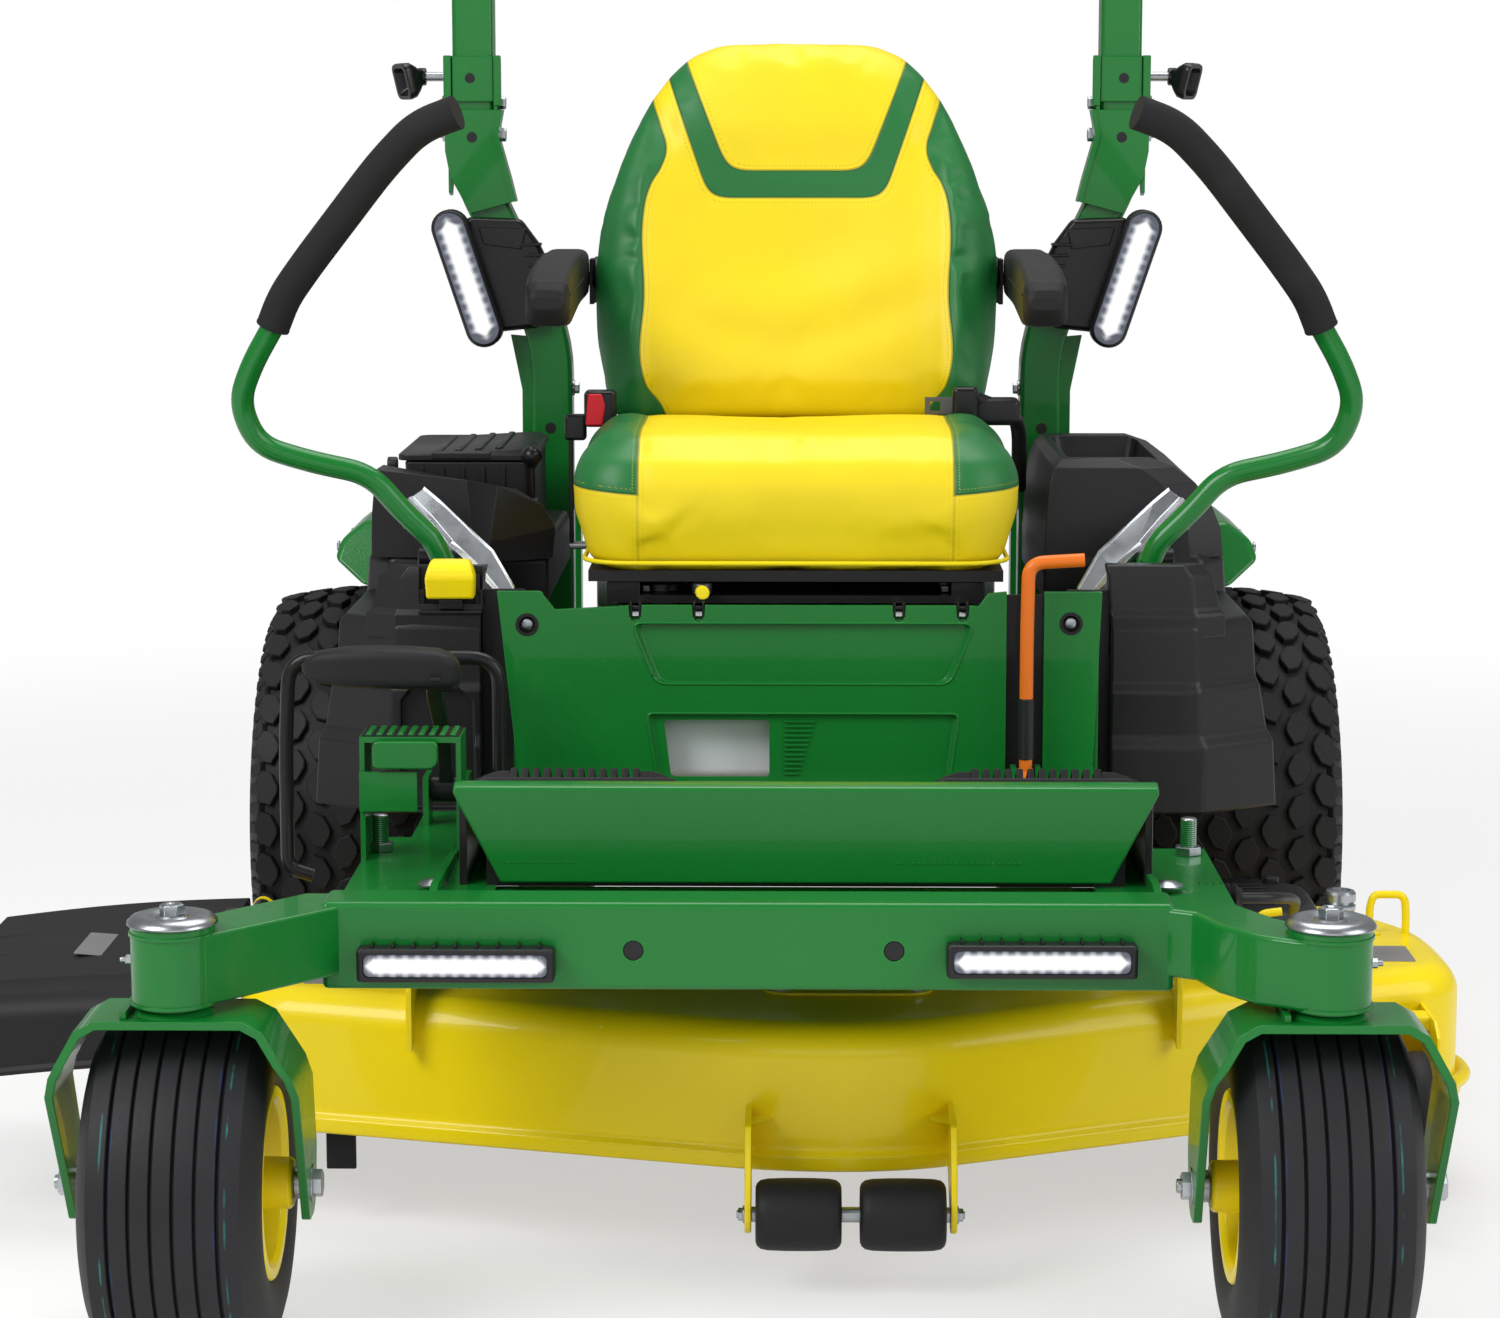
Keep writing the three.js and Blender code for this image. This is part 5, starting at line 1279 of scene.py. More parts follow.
cross = block(-foot, foot, barY - wall, barY + wall, 405.6, 455, 5, 3)
place(cross, "roll_bar_cross_tube", "rops_lower", greenPaint)
hoopTurn = 104
top = hoopHigh.z - wall
hoopRoute = [(-topX, hoopLow.z), *arc(-topX + hoopTurn, top - hoopTurn, hoopTurn, 180, 90, 9),
             *arc(topX - hoopTurn, top - hoopTurn, hoopTurn, 90, 0, 9), (topX, hoopLow.z)]
hoop = plate("y", ribbon(hoopRoute, 2 * wall), barY - wall, barY + wall, 6, 3)
for side in (-1, 1):
    hoop = combine(hoop, axleRod("x", side * (topX - 6), side * (topX + 40), (barY, pinZ), bar["pinHole"],
                                 0, 28))
place(hoop, "roll_bar_hoop", "rops_hoop", greenPaint, "rops_hoop", smooth=40)
sleeve = Part()
for side in (-1, 1):
    x = side * topX
    sleeve.add(block(x - wall - 0.3, x + wall + 0.3, barY - wall - 5.4, barY - wall + 1, 1161, 1217, 1.4))
place(sleeve, "hoop_end_plates", "rops_hoop", greenPaint)
# painted shade: flat black discs on the hoop end plates stand in for the shade inside the pin holes
holes = group(*[axleRod("y", barY - wall - 5.8, barY - wall - 4, (side * 408, 1190), 6.4, 0.3)
                for side in (-1, 1)])
place(holes, "hoop_pin_painted_hole_shade", "rops_hoop", blackPlastic)
print("roll bar done")


# ---- lamps ----
lamp = {"x": 411, "z": 942.5, "lean": 56, "rise": 169, "half": 66, "radius": 23, "mouth": 19.5,
        "pitch": 13, "core": 10}


for key, side in sides:
    home = "rops_lamp_" + key
    low, high = boxOf("rops_lamp_" + key)
    along = Vector((side * lamp["lean"], 0, lamp["rise"])).normalized()
    middle = Vector((side * lamp["x"], 0, lamp["z"]))
    face = low.y

    def capsule(radius, half):
        across = Vector((-along.z, 0, along.x)) * -1
        ring = []
        for u, v in arc(0, half, radius, 0, 180, 14) + arc(0, -half, radius, 180, 360, 14):
            spot = middle + across * u + along * v
            ring.append((spot.x, spot.z))
        return ring

    shell = plate("y", capsule(lamp["radius"], lamp["half"]), face, face + 35.5, 5, 3)
    shell = combine(shell, plate("y", capsule(lamp["mouth"], lamp["half"]), face - 5, face + 3, 0))
    place(shell, "lamp_shell_" + key, home, blackPlastic, "rops_lamp_" + key, smooth=40)
    lens = ledLens("lamp_lens_" + key, middle + Vector((0, face + 2, 0)), along, lamp["pitch"],
                   lamp["half"], lamp["core"])
    cover = plate("y", capsule(lamp["mouth"] - 0.5, lamp["half"] - 0.2), face + 1.2, face + 3.6, 0.8)
    place(cover, "lamp_cover_" + key, home, lens, smooth=40)
    # ribbed housing that clamps the lamp on the post
    housing = [(415, 1018), (345, 1016), (322, 985), (311, 962), (311, 896), (322, 880), (376, 874),
               (396, 882)]
    place(plate("y", sided(side, housing), low.y + 30, high.y - 0.4, 7, 3), "lamp_housing_" + key, home,
          smoothPlastic, smooth=40)
    ribs = Part()
    for i in range(7):
        z = 906 + i * 13
        edge = 311 + max(0, z - 962) * 0.5
        ribs.add(block(side * (edge - 2.5), side * (edge + 26), low.y + 27, high.y - 3, z - 2, z + 2, 1.2))
    ribs.add(plate("y", sided(side, [(338, 1004), (398, 1006), (392, 984), (344, 978)]), low.y + 27.6,
                   low.y + 32, 1.6))
    place(ribs, "lamp_housing_ribs_" + key, home, smoothPlastic)

for key, side in sides:
    home = "light_bar_" + key
    low, high = boxOf("light_bar_" + key)
    x0, x1, z0, z1 = low.x, high.x, low.z, high.z

    def face(inset, y0, y1, edge):
        outline = flatRound(x0 + inset, x1 - inset, z0 + inset - 1, z1 - inset + 1, 6)
        return plate("y", outline, low.y + y0, low.y + y1, edge)

    shell = combine(block(x0, x1, low.y + 3, high.y, z0, z1, 4, 3), face(6, -4, 7, 0))
    place(shell, "light_bar_shell_" + key, home, blackPlastic, "light_bar_" + key)
    lens = ledLens("light_bar_lens_" + key, ((x0 + x1) / 2, low.y + 4, (z0 + z1) / 2), (1, 0, 0), 11.5,
                   (x1 - x0) / 2 - 16, 7)
    place(face(6.6, 4, 7, 0.8), "light_bar_cover_" + key, home, lens)
    fins = Part()
    for i in range(9):
        x = x0 + 14 + (x1 - x0 - 28) * i / 8
        fins.add(block(x - 1.2, x + 1.2, low.y + 9, high.y - 1, z1 - 0.5, z1 + 3, 0.6, 1))
    place(fins, "light_bar_fins_" + key, home, blackPlastic)
print("lamps done")


# ---- seat ----
seat = {"seamHalf": 0.171, "backTall": 452, "shellNeck": 1100, "shellHead": 0.8, "swell": 0.0072,
        "voxel": 0.0065, "frames": 20, "pressure": 4.0}
seatCentre = datum.x


def vinyl(name, slot):
    look = Look(name, slot, {"Specular IOR Level": 0.4, "Coat Weight": 0.08, "Coat Roughness": 0.3})
    grain = look.cells(650.0)
    # fold noise: it paints shade into the base colour as if from folds, and varies the roughness
    fold = look.noise(11.0, 4)
    return look, grain, fold


def seamLines(look, distance, colour, thread, ink=shade(seatGreen, 0.25)):
    # a sunk seam with a row of stitches beside it; distance is signed, in metres
    seam = 1 - look.step(abs(distance), 0.0006, 0.0022)
    beside = 1 - look.step(abs(abs(distance) - 0.0055), 0.0003, 0.0008)
    x, y, z = look.axes()
    phase = (x + y + z) / 0.0045
    dash = look.step(abs(phase - phase.math("ROUND", phase)), 0.14, 0.24)
    stitch = beside * (1 - dash)
    return look.mix(stitch * 0.4, look.mix(seam * 0.5, colour, ink), thread), seam, stitch


def finishVinyl(look, colour, grain, fold, seam, stitch):
    # painted shade: the base colour darkens towards black by up to 16% along the fold noise, standing in
    # for the shade of folds
    look.set("Base Color", look.mix(fold * 0.16, colour, (0.0, 0.0, 0.0)))
    look.set("Roughness", 0.42 + 0.12 * fold)
    height = 0.25 * grain + stitch * 0.5 - seam * 1.6
    look.set("Normal", look.bump(height, 0.0006, 0.55))


def twoTone(look, green):
    drift = look.noise(7.0, 3)
    yellow = look.mix(drift, shade(seatYellow, 0.94), shade(seatYellow, 1.02))
    return look.mix(green, yellow, look.mix(drift, shade(seatGreen, 0.85), shade(seatGreen, 1.1)))


def backrestLook():
    look, grain, fold = vinyl("backrest_vinyl", "seat_cover")
    low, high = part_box("seat_backrest")
    x, y, z = look.axes()
    across = abs(x - seatCentre)
    tall = high.z - low.z
    level = (z - low.z) / tall
    # half width of the yellow middle, by height
    stops = [(0.0, 0.152), (0.045, 0.157), (0.11, 0.177), (0.35, 0.179), (0.55, 0.18), (0.62, 0.172),
             (0.665, 0.16), (0.71, 0.154), (0.777, 0.162), (0.845, 0.172), (1.0, 0.176)]
    half = look.node("ShaderNodeFloatCurve", {"curve": stops}, {"Value": level})
    side = across - half
    # the green band: two leaning straps that meet a crosspiece
    def cup(reach, lean, bottom):
        wall = across - (reach + (z - bottom) * lean)
        return look.node("ShaderNodeMath", {"operation": "SMOOTH_MAX"}, {0: wall, 1: bottom - z, 2: 0.034})

    outside = cup(0.103, 0.35, low.z + 0.586 * tall)
    within = cup(0.081, 0.393, low.z + 0.656 * tall)
    band = outside.most(0 - within)
    frontFace = 1 - look.step(y, (low.y + high.y) / 2 + 0.045, (low.y + high.y) / 2 + 0.047)
    green = look.step(side, -0.0004, 0.0004).most(1 - look.step(band, -0.0004, 0.0004))
    base = twoTone(look, green * frontFace)
    sideSeam, seamA, stitchA = seamLines(look, side, base, shade(seatGreen, 0.8))
    bandSeam, seamB, stitchB = seamLines(look, band, sideSeam, shade(seatGreen, 0.8))
    finishVinyl(look, bandSeam, grain, fold, seamA.most(seamB), stitchA.most(stitchB))
    return look


def cushionLook():
    look, grain, fold = vinyl("cushion_vinyl", "seat_cover")
    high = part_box("seat_cushion")[1]
    x, y, z = look.axes()
    side = abs(x - seatCentre) - seat["seamHalf"]
    under = (high.z - 0.057) + side * 0.08 - z
    corner = side.least(0 - under)
    green = look.step(corner, -0.0004, 0.0004)
    base = twoTone(look, green)
    first, seamA, _ = seamLines(look, side, base, shade(seatYellow, 0.6), shade(seatYellow, 0.6))
    second, seamB, stitchB = seamLines(look, corner, first, shade(seatYellow, 0.8))
    finishVinyl(look, second, grain, fold, seamA.most(seamB), stitchB)
    return look


def smoothed(bm, passes):
    for _ in range(passes):
        bmesh.ops.smooth_vert(bm, verts=bm.verts, factor=0.5, use_axis_x=True, use_axis_y=True,
                              use_axis_z=True)


def shaped(part, name, move):
    # remeshes a pad, pushes its skin by a rule and hands back the object in the row frame
    part.turned(toRow)
    obj = shown(part, name)
    remesh = obj.modifiers.new("even_mesh", "REMESH")
    remesh.mode = "VOXEL"
    remesh.voxel_size = seat["voxel"]
    mesh = bpy.data.meshes.new_from_object(obj.evaluated_get(bpy.context.evaluated_depsgraph_get()))
    obj.modifiers.clear()
    obj.data = mesh
    bm = bmesh.new()
    bm.from_mesh(mesh)
    smoothed(bm, 4)
    for v in bm.verts:
        v.co += move(fromRow @ v.co) * 0.001
    smoothed(bm, 2)
    bm.to_mesh(mesh)
    bm.free()
    return obj


def puff(obj, cap):
    # cloth under light pressure; no point moves further than cap
    rest = [v.co.copy() for v in obj.data.vertices]
    cloth = obj.modifiers.new("stuffing", "CLOTH")
    cloth.settings.quality = 5
    cloth.settings.use_pressure = True
    cloth.settings.uniform_pressure_force = seat["pressure"]
    cloth.settings.tension_stiffness = cloth.settings.compression_stiffness = 15
    cloth.settings.bending_stiffness = 2
    cloth.settings.effector_weights.gravity = 0
    cloth.point_cache.frame_start, cloth.point_cache.frame_end = 1, seat["frames"]
    for step in range(1, seat["frames"] + 1):
        scene.frame_set(step)
    solved = obj.evaluated_get(bpy.context.evaluated_depsgraph_get())
    spots = [v.co.copy() for v in solved.data.vertices]
    obj.modifiers.clear()
    for vertex, before, after in zip(obj.data.vertices, rest, spots):
        shift = after - before
        vertex.co = before + shift * min(1, cap / max(shift.length, 1e-9))
    scene.frame_set(1)


def coverPiece(obj, look, node):
    obj.data.materials.append(look.material)
    obj.data.shade_smooth()
    finer = obj.modifiers.new("finer", "SUBSURF")
    finer.levels = finer.render_levels = 1
    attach(obj, bodyOf[node])
    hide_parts(node)


def bell(value, centre, width):
    return math.exp(-((value - centre) / width) ** 2)


def easy(value, low, high):
    t = min(1, max(0, (value - low) / (high - low)))
    return t * t * (3 - 2 * t)


cushionLow, cushionHigh = boxOf("seat_cushion")
backHigh = boxOf("seat_backrest")[1]


def cushionForm():
    c = cushionLow
    h = cushionHigh
    return loft([
        ringRound(-224, 224, c.y + 20, h.y - 10, c.z + 1, 46, 5),
        ringRound(-235, 235, c.y + 10, h.y - 6, c.z + 12, 56, 5),
        ringRound(-246, 246, c.y + 5, h.y - 8, c.z + 56, 62, 5),
        ringRound(-252, 252, c.y + 5, h.y - 12, c.z + 94, 64, 5),
        ringRound(-242, 242, c.y + 13, h.y - 44, c.z + 122, 62, 5),
        ringRound(-212, 212, c.y + 44, h.y - 74, c.z + 137, 60, 5),
        ringRound(-150, 150, c.y + 96, h.y - 110, c.z + 142, 60, 5)])


def cushionMove(p):
    # side bolsters stand up, the middle is dished, seams pull in
    up = Vector((0, 0, 1))
    top = easy(p.z, cushionLow.z + 100, cushionLow.z + 134)
    side = abs(p.x)
    dish = -10 * top * bell(p.x, 0, 110) * bell(p.y, 905, 110)
    bolster = 5 * top * bell(side, 208, 34) * easy(p.y, 740, 800)
    seam = -3.2 * top * bell(side, 171, 5) - 1.6 * bell(side, 171, 5) * (1 - top) * (1 if p.y < 760 else 0)
    crease = 1.2 * top * math.sin(p.y / 23 + p.x / 61) * bell(p.x, 0, 150)
    front = 4 * bell(p.z, cushionLow.z + 84, 34) * (1 - easy(p.y, 720, 760))
    outward = Vector((0, 1, 0)) * (-front + (1.6 * bell(side, 171, 6) if p.y < 740 else 0))
    return up * (dish + bolster + seam + crease) + outward


def leanAt(z):  # where the backrest's front plane stands at a height
    return 1060 + (z - 780) * 0.25


def backForm():
    rings = []
    for rise, half, front, rear in ((0, 204, 24, 84), (8, 222, 10, 98), (40, 233, 4, 103),
                                    (110, 238, 2, 103), (190, 239, 2, 103), (245, 235, 2, 103),
                                    (304, 216, 3, 102), (345, 197, 4, 101), (384, 177, 6, 98),
                                    (414, 154, 9, 94), (436, 130, 15, 88), (450, 96, 28, 76)):
        z = backHigh.z - seat["backTall"] + rise
        lean = leanAt(z)
        rings.append(ringRound(-half, half, lean + front, lean + rear, z, 28 if half > 90 else 20, 5))
    return loft(rings)


def backMove(p):
    front = 1 - easy(p.y - leanAt(p.z), 18, 60)
    rise = p.z - (backHigh.z - seat["backTall"])
    level = rise / seat["backTall"]
    side = abs(p.x)
    bolster = 15 * bell(side, 202, 30) * bell(level, 0.42, 0.4)
    middle = -15 * bell(p.x, 0, 120) * bell(level, 0.42, 0.24)
    lumbar = 9 * bell(level, 0.16, 0.13) * bell(p.x, 0, 150)
    head = 8 * easy(level, 0.66, 0.78) * bell(p.x, 0, 130)
    seam = -3.6 * bell(side, 175, 5) * (1 - easy(level, 0.8, 0.95))
    channel = -3.0 * bell(level, 0.595, 0.012) * easy(110 - side, 0, 20)
    fold = 2.0 * math.sin(p.z / 17 + math.sin(p.x / 48) * 1.6) * bell(level, 0.33, 0.12) * bell(side, 90,
            70)
    smile = rise - 92 - 0.24 * abs(p.x + 12)
    sag = (-7.0 * bell(smile, 0, 24) + 4.0 * bell(smile, 48, 30)) * bell(p.x, -10, 135)
    push = (bolster + middle + lumbar + head + seam + channel + fold + sag) * front
    return Vector((0, -1, 0.12)) * push


padNode = "seat_cushion"
cushion = shaped(cushionForm(), "cushion_cover", cushionMove)
backrest = shaped(backForm(), "backrest_cover", backMove)
puff(cushion, seat["swell"])
puff(backrest, seat["swell"])
coverPiece(cushion, cushionLook(), "seat_cushion")
coverPiece(backrest, backrestLook(), "seat_backrest")


def piping(points, radius, name, look):
    cord = tube(points, radius, 20, 4)
    return place(cord, name, padNode, look, smooth=80)


edge = [(x, y, cushionLow.z + 9) for x, y, z in ringRound(-232, 232, cushionLow.y + 12, cushionHigh.y - 8,
        0, 54, 7)]
yellowVinyl = plastic("yellow_piping_vinyl", "seat_cover", seatYellow, 0.45, 900.0, 0.0001)
piping(edge + edge[:2], 2.6, "cushion_lower_piping", yellowVinyl)

# the shell narrows behind the head of the backrest
shell = softened("seat_shell")
for vert in shell.bm.verts:
    if vert.co.z > seat["shellNeck"]:
        vert.co.x *= seat["shellHead"]
place(shell, "seat_shell_skin", "seat_shell", blackPlastic, "seat_shell", 1.5)
soften("seat_base", blackPaint, 1.2)
rails = Part()
for side in (-1, 1):
    rails.add(block(side * 187 - 16, side * 187 + 16, 742, 1096, 627.5, 640, 2))
    for i in range(10):
        rails.add(block(side * 164 - 4, side * 164 + 4, 756 + i * 30, 768 + i * 30, 627, 634, 1))
place(rails, "seat_slide_rails", "seat_base", darkSteel)
springs = Part()
for x in (-88, 70):
    for i in range(7):
        springs.add(lathe("z", (x, 800, 560 + i * 8), [(0, 26), (3.4, 29.4), (0, 33), (-3.4, 29.4)], 28,
                          closed=True))
place(springs, "seat_springs", "seat_base", darkSteel, smooth=60)
link = group(block(-196, -188, 742, 1020, 560, 616, 2), block(188, 196, 742, 1020, 560, 616, 2),
             axleRod("x", -196, 196, (760, 590), 9, 1), axleRod("x", -196, 196, (1000, 590), 9, 1))
place(link, "seat_suspension_links", "seat_base", blackPaint)

low, high = boxOf("seat_slide_lever")
slideBar = group(tube([(-102, 732, 634.6), (-102, 700, 634.6), (-100, 676, 636.4)], 4.2, 10, 5),
                 axleRod("z", low.z, high.z, (-102, 728), 11, 1.5, 28))
place(slideBar, "slide_lever_bar", "seat_slide_lever", darkSteel, "seat_slide_lever", smooth=50)
sleeve = rod((-101.4, 694, 635.2), (-99.6, 675, 636.4), 7.4, 2.4, 28)
place(sleeve, "slide_lever_sleeve", "seat_slide_lever", yellowPlastic)

arm = {"pivotZ": 948, "pivotBack": 24}
for key, side in sides:
    home = "armrest_" + key
    low, high = boxOf("armrest_" + key)
    middleX = (low.x + high.x) / 2
    pivotY = high.y - arm["pivotBack"]
    half = (high.x - low.x) / 2
    rings = []
    for y, x0, z0, z1 in ((851, 16, 931, 944), (854, 21, 925, 952), (864, 25, 912, 962),
                          (900, 26, 909, 970), (960, 26, 914, 977), (1020, 26, 919, 981),
                          (1100, 26, 923, 984), (high.y - 30, 26, 925, 984), (high.y - 8, 25, 928, 976),
                          (high.y - 1, 20, 936, 964)):
        corners = [(-x0, z0), (x0, z0), (x0, z1), (-x0, z1)]
        rings.append([(middleX + u, y, v) for u, v in softCorners(corners, 13, 4)])
    padPart = combine(loft(rings), axleRod("x", middleX - 40, middleX + 40, (pivotY, arm["pivotZ"]), 10.6,
            0, 24))
    obj = place(padPart, "armrest_pad_" + key, home, softRubber, "armrest_" + key, 2.5, 3, angle=20,
                smooth=50)
    bandLine = Part()
    for s in (-1, 1):
        route = [(middleX + s * (half - 1.2), 866, 946), (middleX + s * (half - 0.6), 1000, 950),
                 (middleX + s * (half - 0.6), 1120, 954)]
        bandLine.add(tube(route, 1.1, 20, 3))
    place(bandLine, "armrest_seam_" + key, home, softRubber, smooth=70)
    turned = [(245, 0), (245, 8), (284, 8), (284, 15), (290, 15), (294, 12), (295, 0)]
    pivot = lathe("x", (0, pivotY, arm["pivotZ"]), sided(side, turned), 36)
    place(pivot, "armrest_pivot_" + key, padNode, blackPaint, smooth=45)
    turned = [(238, 0), (238, 26), (243, 27), (246, 24), (247, 0)]
    cover = lathe("x", (0, pivotY, arm["pivotZ"]), sided(side, turned), 48)
    place(cover, "armrest_ratchet_" + key, padNode, blackPlastic, smooth=45)

buckleX = -262
housing = group(block(buckleX - 7, buckleX + 18, 1014, 1036, 770, 800, 4, 3),
                block(-246, -209, 1008, 1042, 786, 828, 5, 3))
place(housing, "buckle_housing", padNode, smoothPlastic, "belt_buckle")
wedge = plate("y", [(-244, 788), (-224, 788), (-221, 812), (-225, 825), (-241, 825)], 1004.5, 1014, 2.4, 3)
place(wedge, "buckle_button", padNode, redPlastic)
place(plate("x", [(1018, 650.6), (1032, 650.6), (1034, 776), (1016, 776)], buckleX - 2.5, buckleX + 2.5,
            1), "buckle_strap", padNode, blackPaint)
place(block(buckleX - 3, -228, 1012, 1038, 643, 650, 1.5), "buckle_anchor", padNode, zincPlate)
webbing = tube([(268, 1160, 700), (266, 1120, 780), (250, 1062, 800), (222, 1044, 812), (196, 1038, 822)],
               9, 30, 5)
place(webbing, "belt_webbing_roll", padNode, softRubber, smooth=70)
tongue = combine(block(150, 186, 1028, 1032, 799, 820, 1.2), block(156, 168, 1020, 1040, 804, 815, 1))
place(tongue, "belt_tongue", padNode, darkSteel)
place(block(182, 212, 1022, 1040, 794, 832, 6, 3), "belt_tongue_grip", padNode, smoothPlastic)
place(block(206, 262, 1034, 1066, 786, 818, 8, 3), "belt_retractor", padNode, blackPlastic)
print("seat done")


# ---- cutting deck ----
deck = {"low": 105, "top": 250, "bend": 34, "left": -585}
deckNode = "deck_shell"
deckCorners = [(-585, 884, 84), (-585, 469, 62), (-16, 309, 60), (107, 309, 60), (712, 581, 50),
               (712, 690, 50), (704, 770, 50), (650, 868, 60), (560, 926, 60), (430, 936, 60),
               (60, 884, 60)]


def roundedLoop(corners, steps):
    loop = []
    for before, corner, after in zip(corners[-1:] + corners[:-1], corners, corners[1:] + corners[:1]):
        loop += bendAt(before[:2], corner[:2], after[:2], corner[2], steps)
    return loop


def inwards(loop, distance):
    moved = []
    for index, here in enumerate(loop):
        into = (here - loop[index - 1]).normalized()
        out = (loop[(index + 1) % len(loop)] - here).normalized()
        normal = (Vector((-into.y, into.x)) + Vector((-out.y, out.x))).normalized()
        moved.append(here + normal * distance)
    return moved


deckLoop = roundedLoop(deckCorners, 6)


def deckRing(distance, z):
    return [(p.x, p.y, z) for p in inwards(deckLoop, distance)]


bend = deck["bend"]
high = deck["top"]
skin = 4
profile = [(bend + 2, high - skin), *arc(bend, high - bend, bend - skin, 90, 180)]
profile += [(4, 128), (0, 123), (-2, 120), (-2, 110), (0, deck["low"] + 0.6), (-4, deck["low"]),
            (-6.4, 107), (-7, 110), (-7, 119), (-5.6, 121.6), (-2, 124), (-0.4, 127), (0, 131)]
profile += arc(bend, high - bend, bend, 180, 90, 9)
pan = loft([deckRing(d, z) for d, z in profile])
pan = combine(pan, block(deck["left"] - 20, deck["left"] + 8, 520, 780, 122, 216, 0))
spindleSpots = {"left": (-360, 640), "centre": (55, 530), "right": (470, 712)}
for x, y in spindleSpots.values():
    pan = combine(pan, axleRod("z", 220, 270, (x, y), 36, 0, 32))
place(pan, "deck_pan", deckNode, yellowPaint, "deck_shell", 0, smooth=32)

mounts = Part()
heads = Part()
for x, y in spindleSpots.values():
    shape = plate("z", flatRound(x - 88, x + 88, y - 88, y + 88, 26), high + 0.2, high + 3.6, 1.2)
    mounts.add(combine(shape, axleRod("z", 240, 270, (x, y), 36, 0, 32)))
    for u in (-70, 70):
        for v in (-70, 70):
            heads.add(bolt((x + u, y + v, high + 3.6), (0, 0, 1), 8))
place(mounts, "spindle_mount_plates", deckNode, yellowPaint)
braces = Part()
for x0, x1 in ((-260, -40), (150, 370)):
    braces.add(plate("y", [(x0, high), (x0 + 8, high + 12), (x1 - 8, high + 12), (x1, high)], 620, 680, 3))
braces.add(block(-500, -440, 700, 850, high, high + 8, 3))
braces.add(block(584, 632, 752, 842, high, high + 8, 3))
place(braces, "deck_stiffeners", deckNode, yellowPaint)

fins = Part()
for side, front in ((-1, 394), (1, 416)):
    x = side * 392
    fins.add(plate("x", [(front, 202), (front, 262), (front + 3, 268), (426, 293), (434, 295), (474, 295),
                         (483, 290), (508, high - 1), (452, high - 2), (452, 210)], x - 3, x + 3, 1.2))
    heads.add(bolt((x - side * 3.2, 452, 282), (-side, 0, 0), 7, stud=4))
    fins.add(plate("x", [(700, high - 2), (704, 286), (744, 286), (760, high - 2)], x - 3, x + 3, 1.2))
    heads.add(bolt((x - side * 3.2, 726, 272), (-side, 0, 0), 7, stud=4))
place(fins, "deck_hanger_plates", deckNode, yellowPaint)

rollerX, rollerY, rollerZ = 55, 240, 81.5
brackets = Part()
for side, back in ((-1, 322), (1, 334)):
    x = rollerX + side * 100.5
    leg = plate("x", [(back, 170), (back, 124), (272, 84), *arc(rollerY + 2, rollerZ - 1, 18, -50, -180,
            6), (rollerY - 15, 124), (rollerY + 6, 168), (rollerY + 18, 172)], x - 3.2, x + 3.2, 1.4)
    brackets.add(leg)
    flap = loft([[(x - side * 3, 248, 170), (x - side * 3, 252, 170), (x - side * 3, back - 4, 160),
                  (x - side * 3, back - 8, 160)], [(x - side * 22, 278, 166), (x - side * 22, 281, 166),
            (x - side * 22, back - 4, 158), (x - side * 22, back - 8, 158)]])
    brackets.add(flap)
    heads.add(bolt((x + side * 3.2, rollerY, rollerZ), (side, 0, 0), 7))
place(brackets, "roller_brackets", deckNode, yellowPaint, smooth=34)
axle = group(axleRod("x", rollerX - 111.6, rollerX + 111.6, (rollerY, rollerZ), 4.2, 0.8, 20),
             axleRod("x", rollerX - 97, rollerX + 97, (rollerY, rollerZ), 7.6, 0.4, 28))
place(axle, "roller_axle", deckNode, zincPlate)
for key, side in sides:
    c = rollerX + side * 51
    end = [(-42, 8.6), (-42, 27), (-40.5, 30.5), (-37, 33.4), (-30, 34.8), (-14, 35.4)]
    profile = [(c + along, radius) for along, radius in end + [(0, 35.5)] + flipped(end)]
    barrel = lathe("x", (0, rollerY, rollerZ), profile, 72, closed=True)
    place(barrel, "deck_roller_body_" + key, "deck_roller_" + key, softRubber, "deck_roller_" + key,
          smooth=50)
    marks = Part()
    for start in (0, 120, 240):
        a = math.radians(start + 40)
        spot = Vector((c + 42, rollerY + 20 * math.cos(a), rollerZ + 20 * math.sin(a)))
        marks.add(rod(spot - Vector((0.4, 0, 0)), spot + Vector((0.3, 0, 0)), 5, 0.2))
    place(marks, "roller_end_marks_" + key, "deck_roller_" + key, blackPlastic)

low, top = boxOf("gauge_wheel")
gx, gy, gz = (low + top) / 2 + Vector((1, 0, 0))
gr = (top.z - low.z) / 2
wheel = lathe("x", (0, gy, gz), [(gx - 17, 8), (gx - 17, gr * 0.62), (gx - 15, gr * 0.66),
                                 (gx - 15.5, gr * 0.86), (gx - 12, gr - 3), (gx - 7, gr - 0.6), (gx, gr),
                                 (gx + 6, gr - 0.6), (gx + 11, gr - 3), (gx + 14, gr * 0.86),
                                 (gx + 13.4, gr * 0.66), (gx + 15, gr * 0.62), (gx + 15, 8)], 80,
              closed=True)
place(wheel, "gauge_wheel_body", "gauge_wheel", softRubber, "gauge_wheel", smooth=45)
arms = Part()
for x, back in ((gx - 23.6, gy + 82), (gx + 18.4, gy + 100)):
    strap = plate("x", [(back - 4, gz + 96), (back, gz + 14), (gy + 44, gz - 4),
                        *arc(gy, gz, 19, -30, -190, 8), (gy - 16, gz + 40), (gy - 8, gz + 84),
                        (gy + 14, gz + 97)], x - 2, x + 2, 1)
    arms.add(strap)
arms.add(block(gx - 23, gx + 18, gy + 34, gy + 66, gz + 80, gz + 96, 3))
place(arms, "gauge_wheel_arms", deckNode, yellowPaint)
place(group(axleRod("x", gx - 27, gx + 21, (gy, gz), 6.6, 0.5), bolt((gx + 20.4, gy, gz), (1, 0, 0), 7,
        4), bolt((gx - 25.6, gy, gz), (-1, 0, 0), 7, 4)), "gauge_wheel_bolt", deckNode, zincPlate,
      smooth=30)
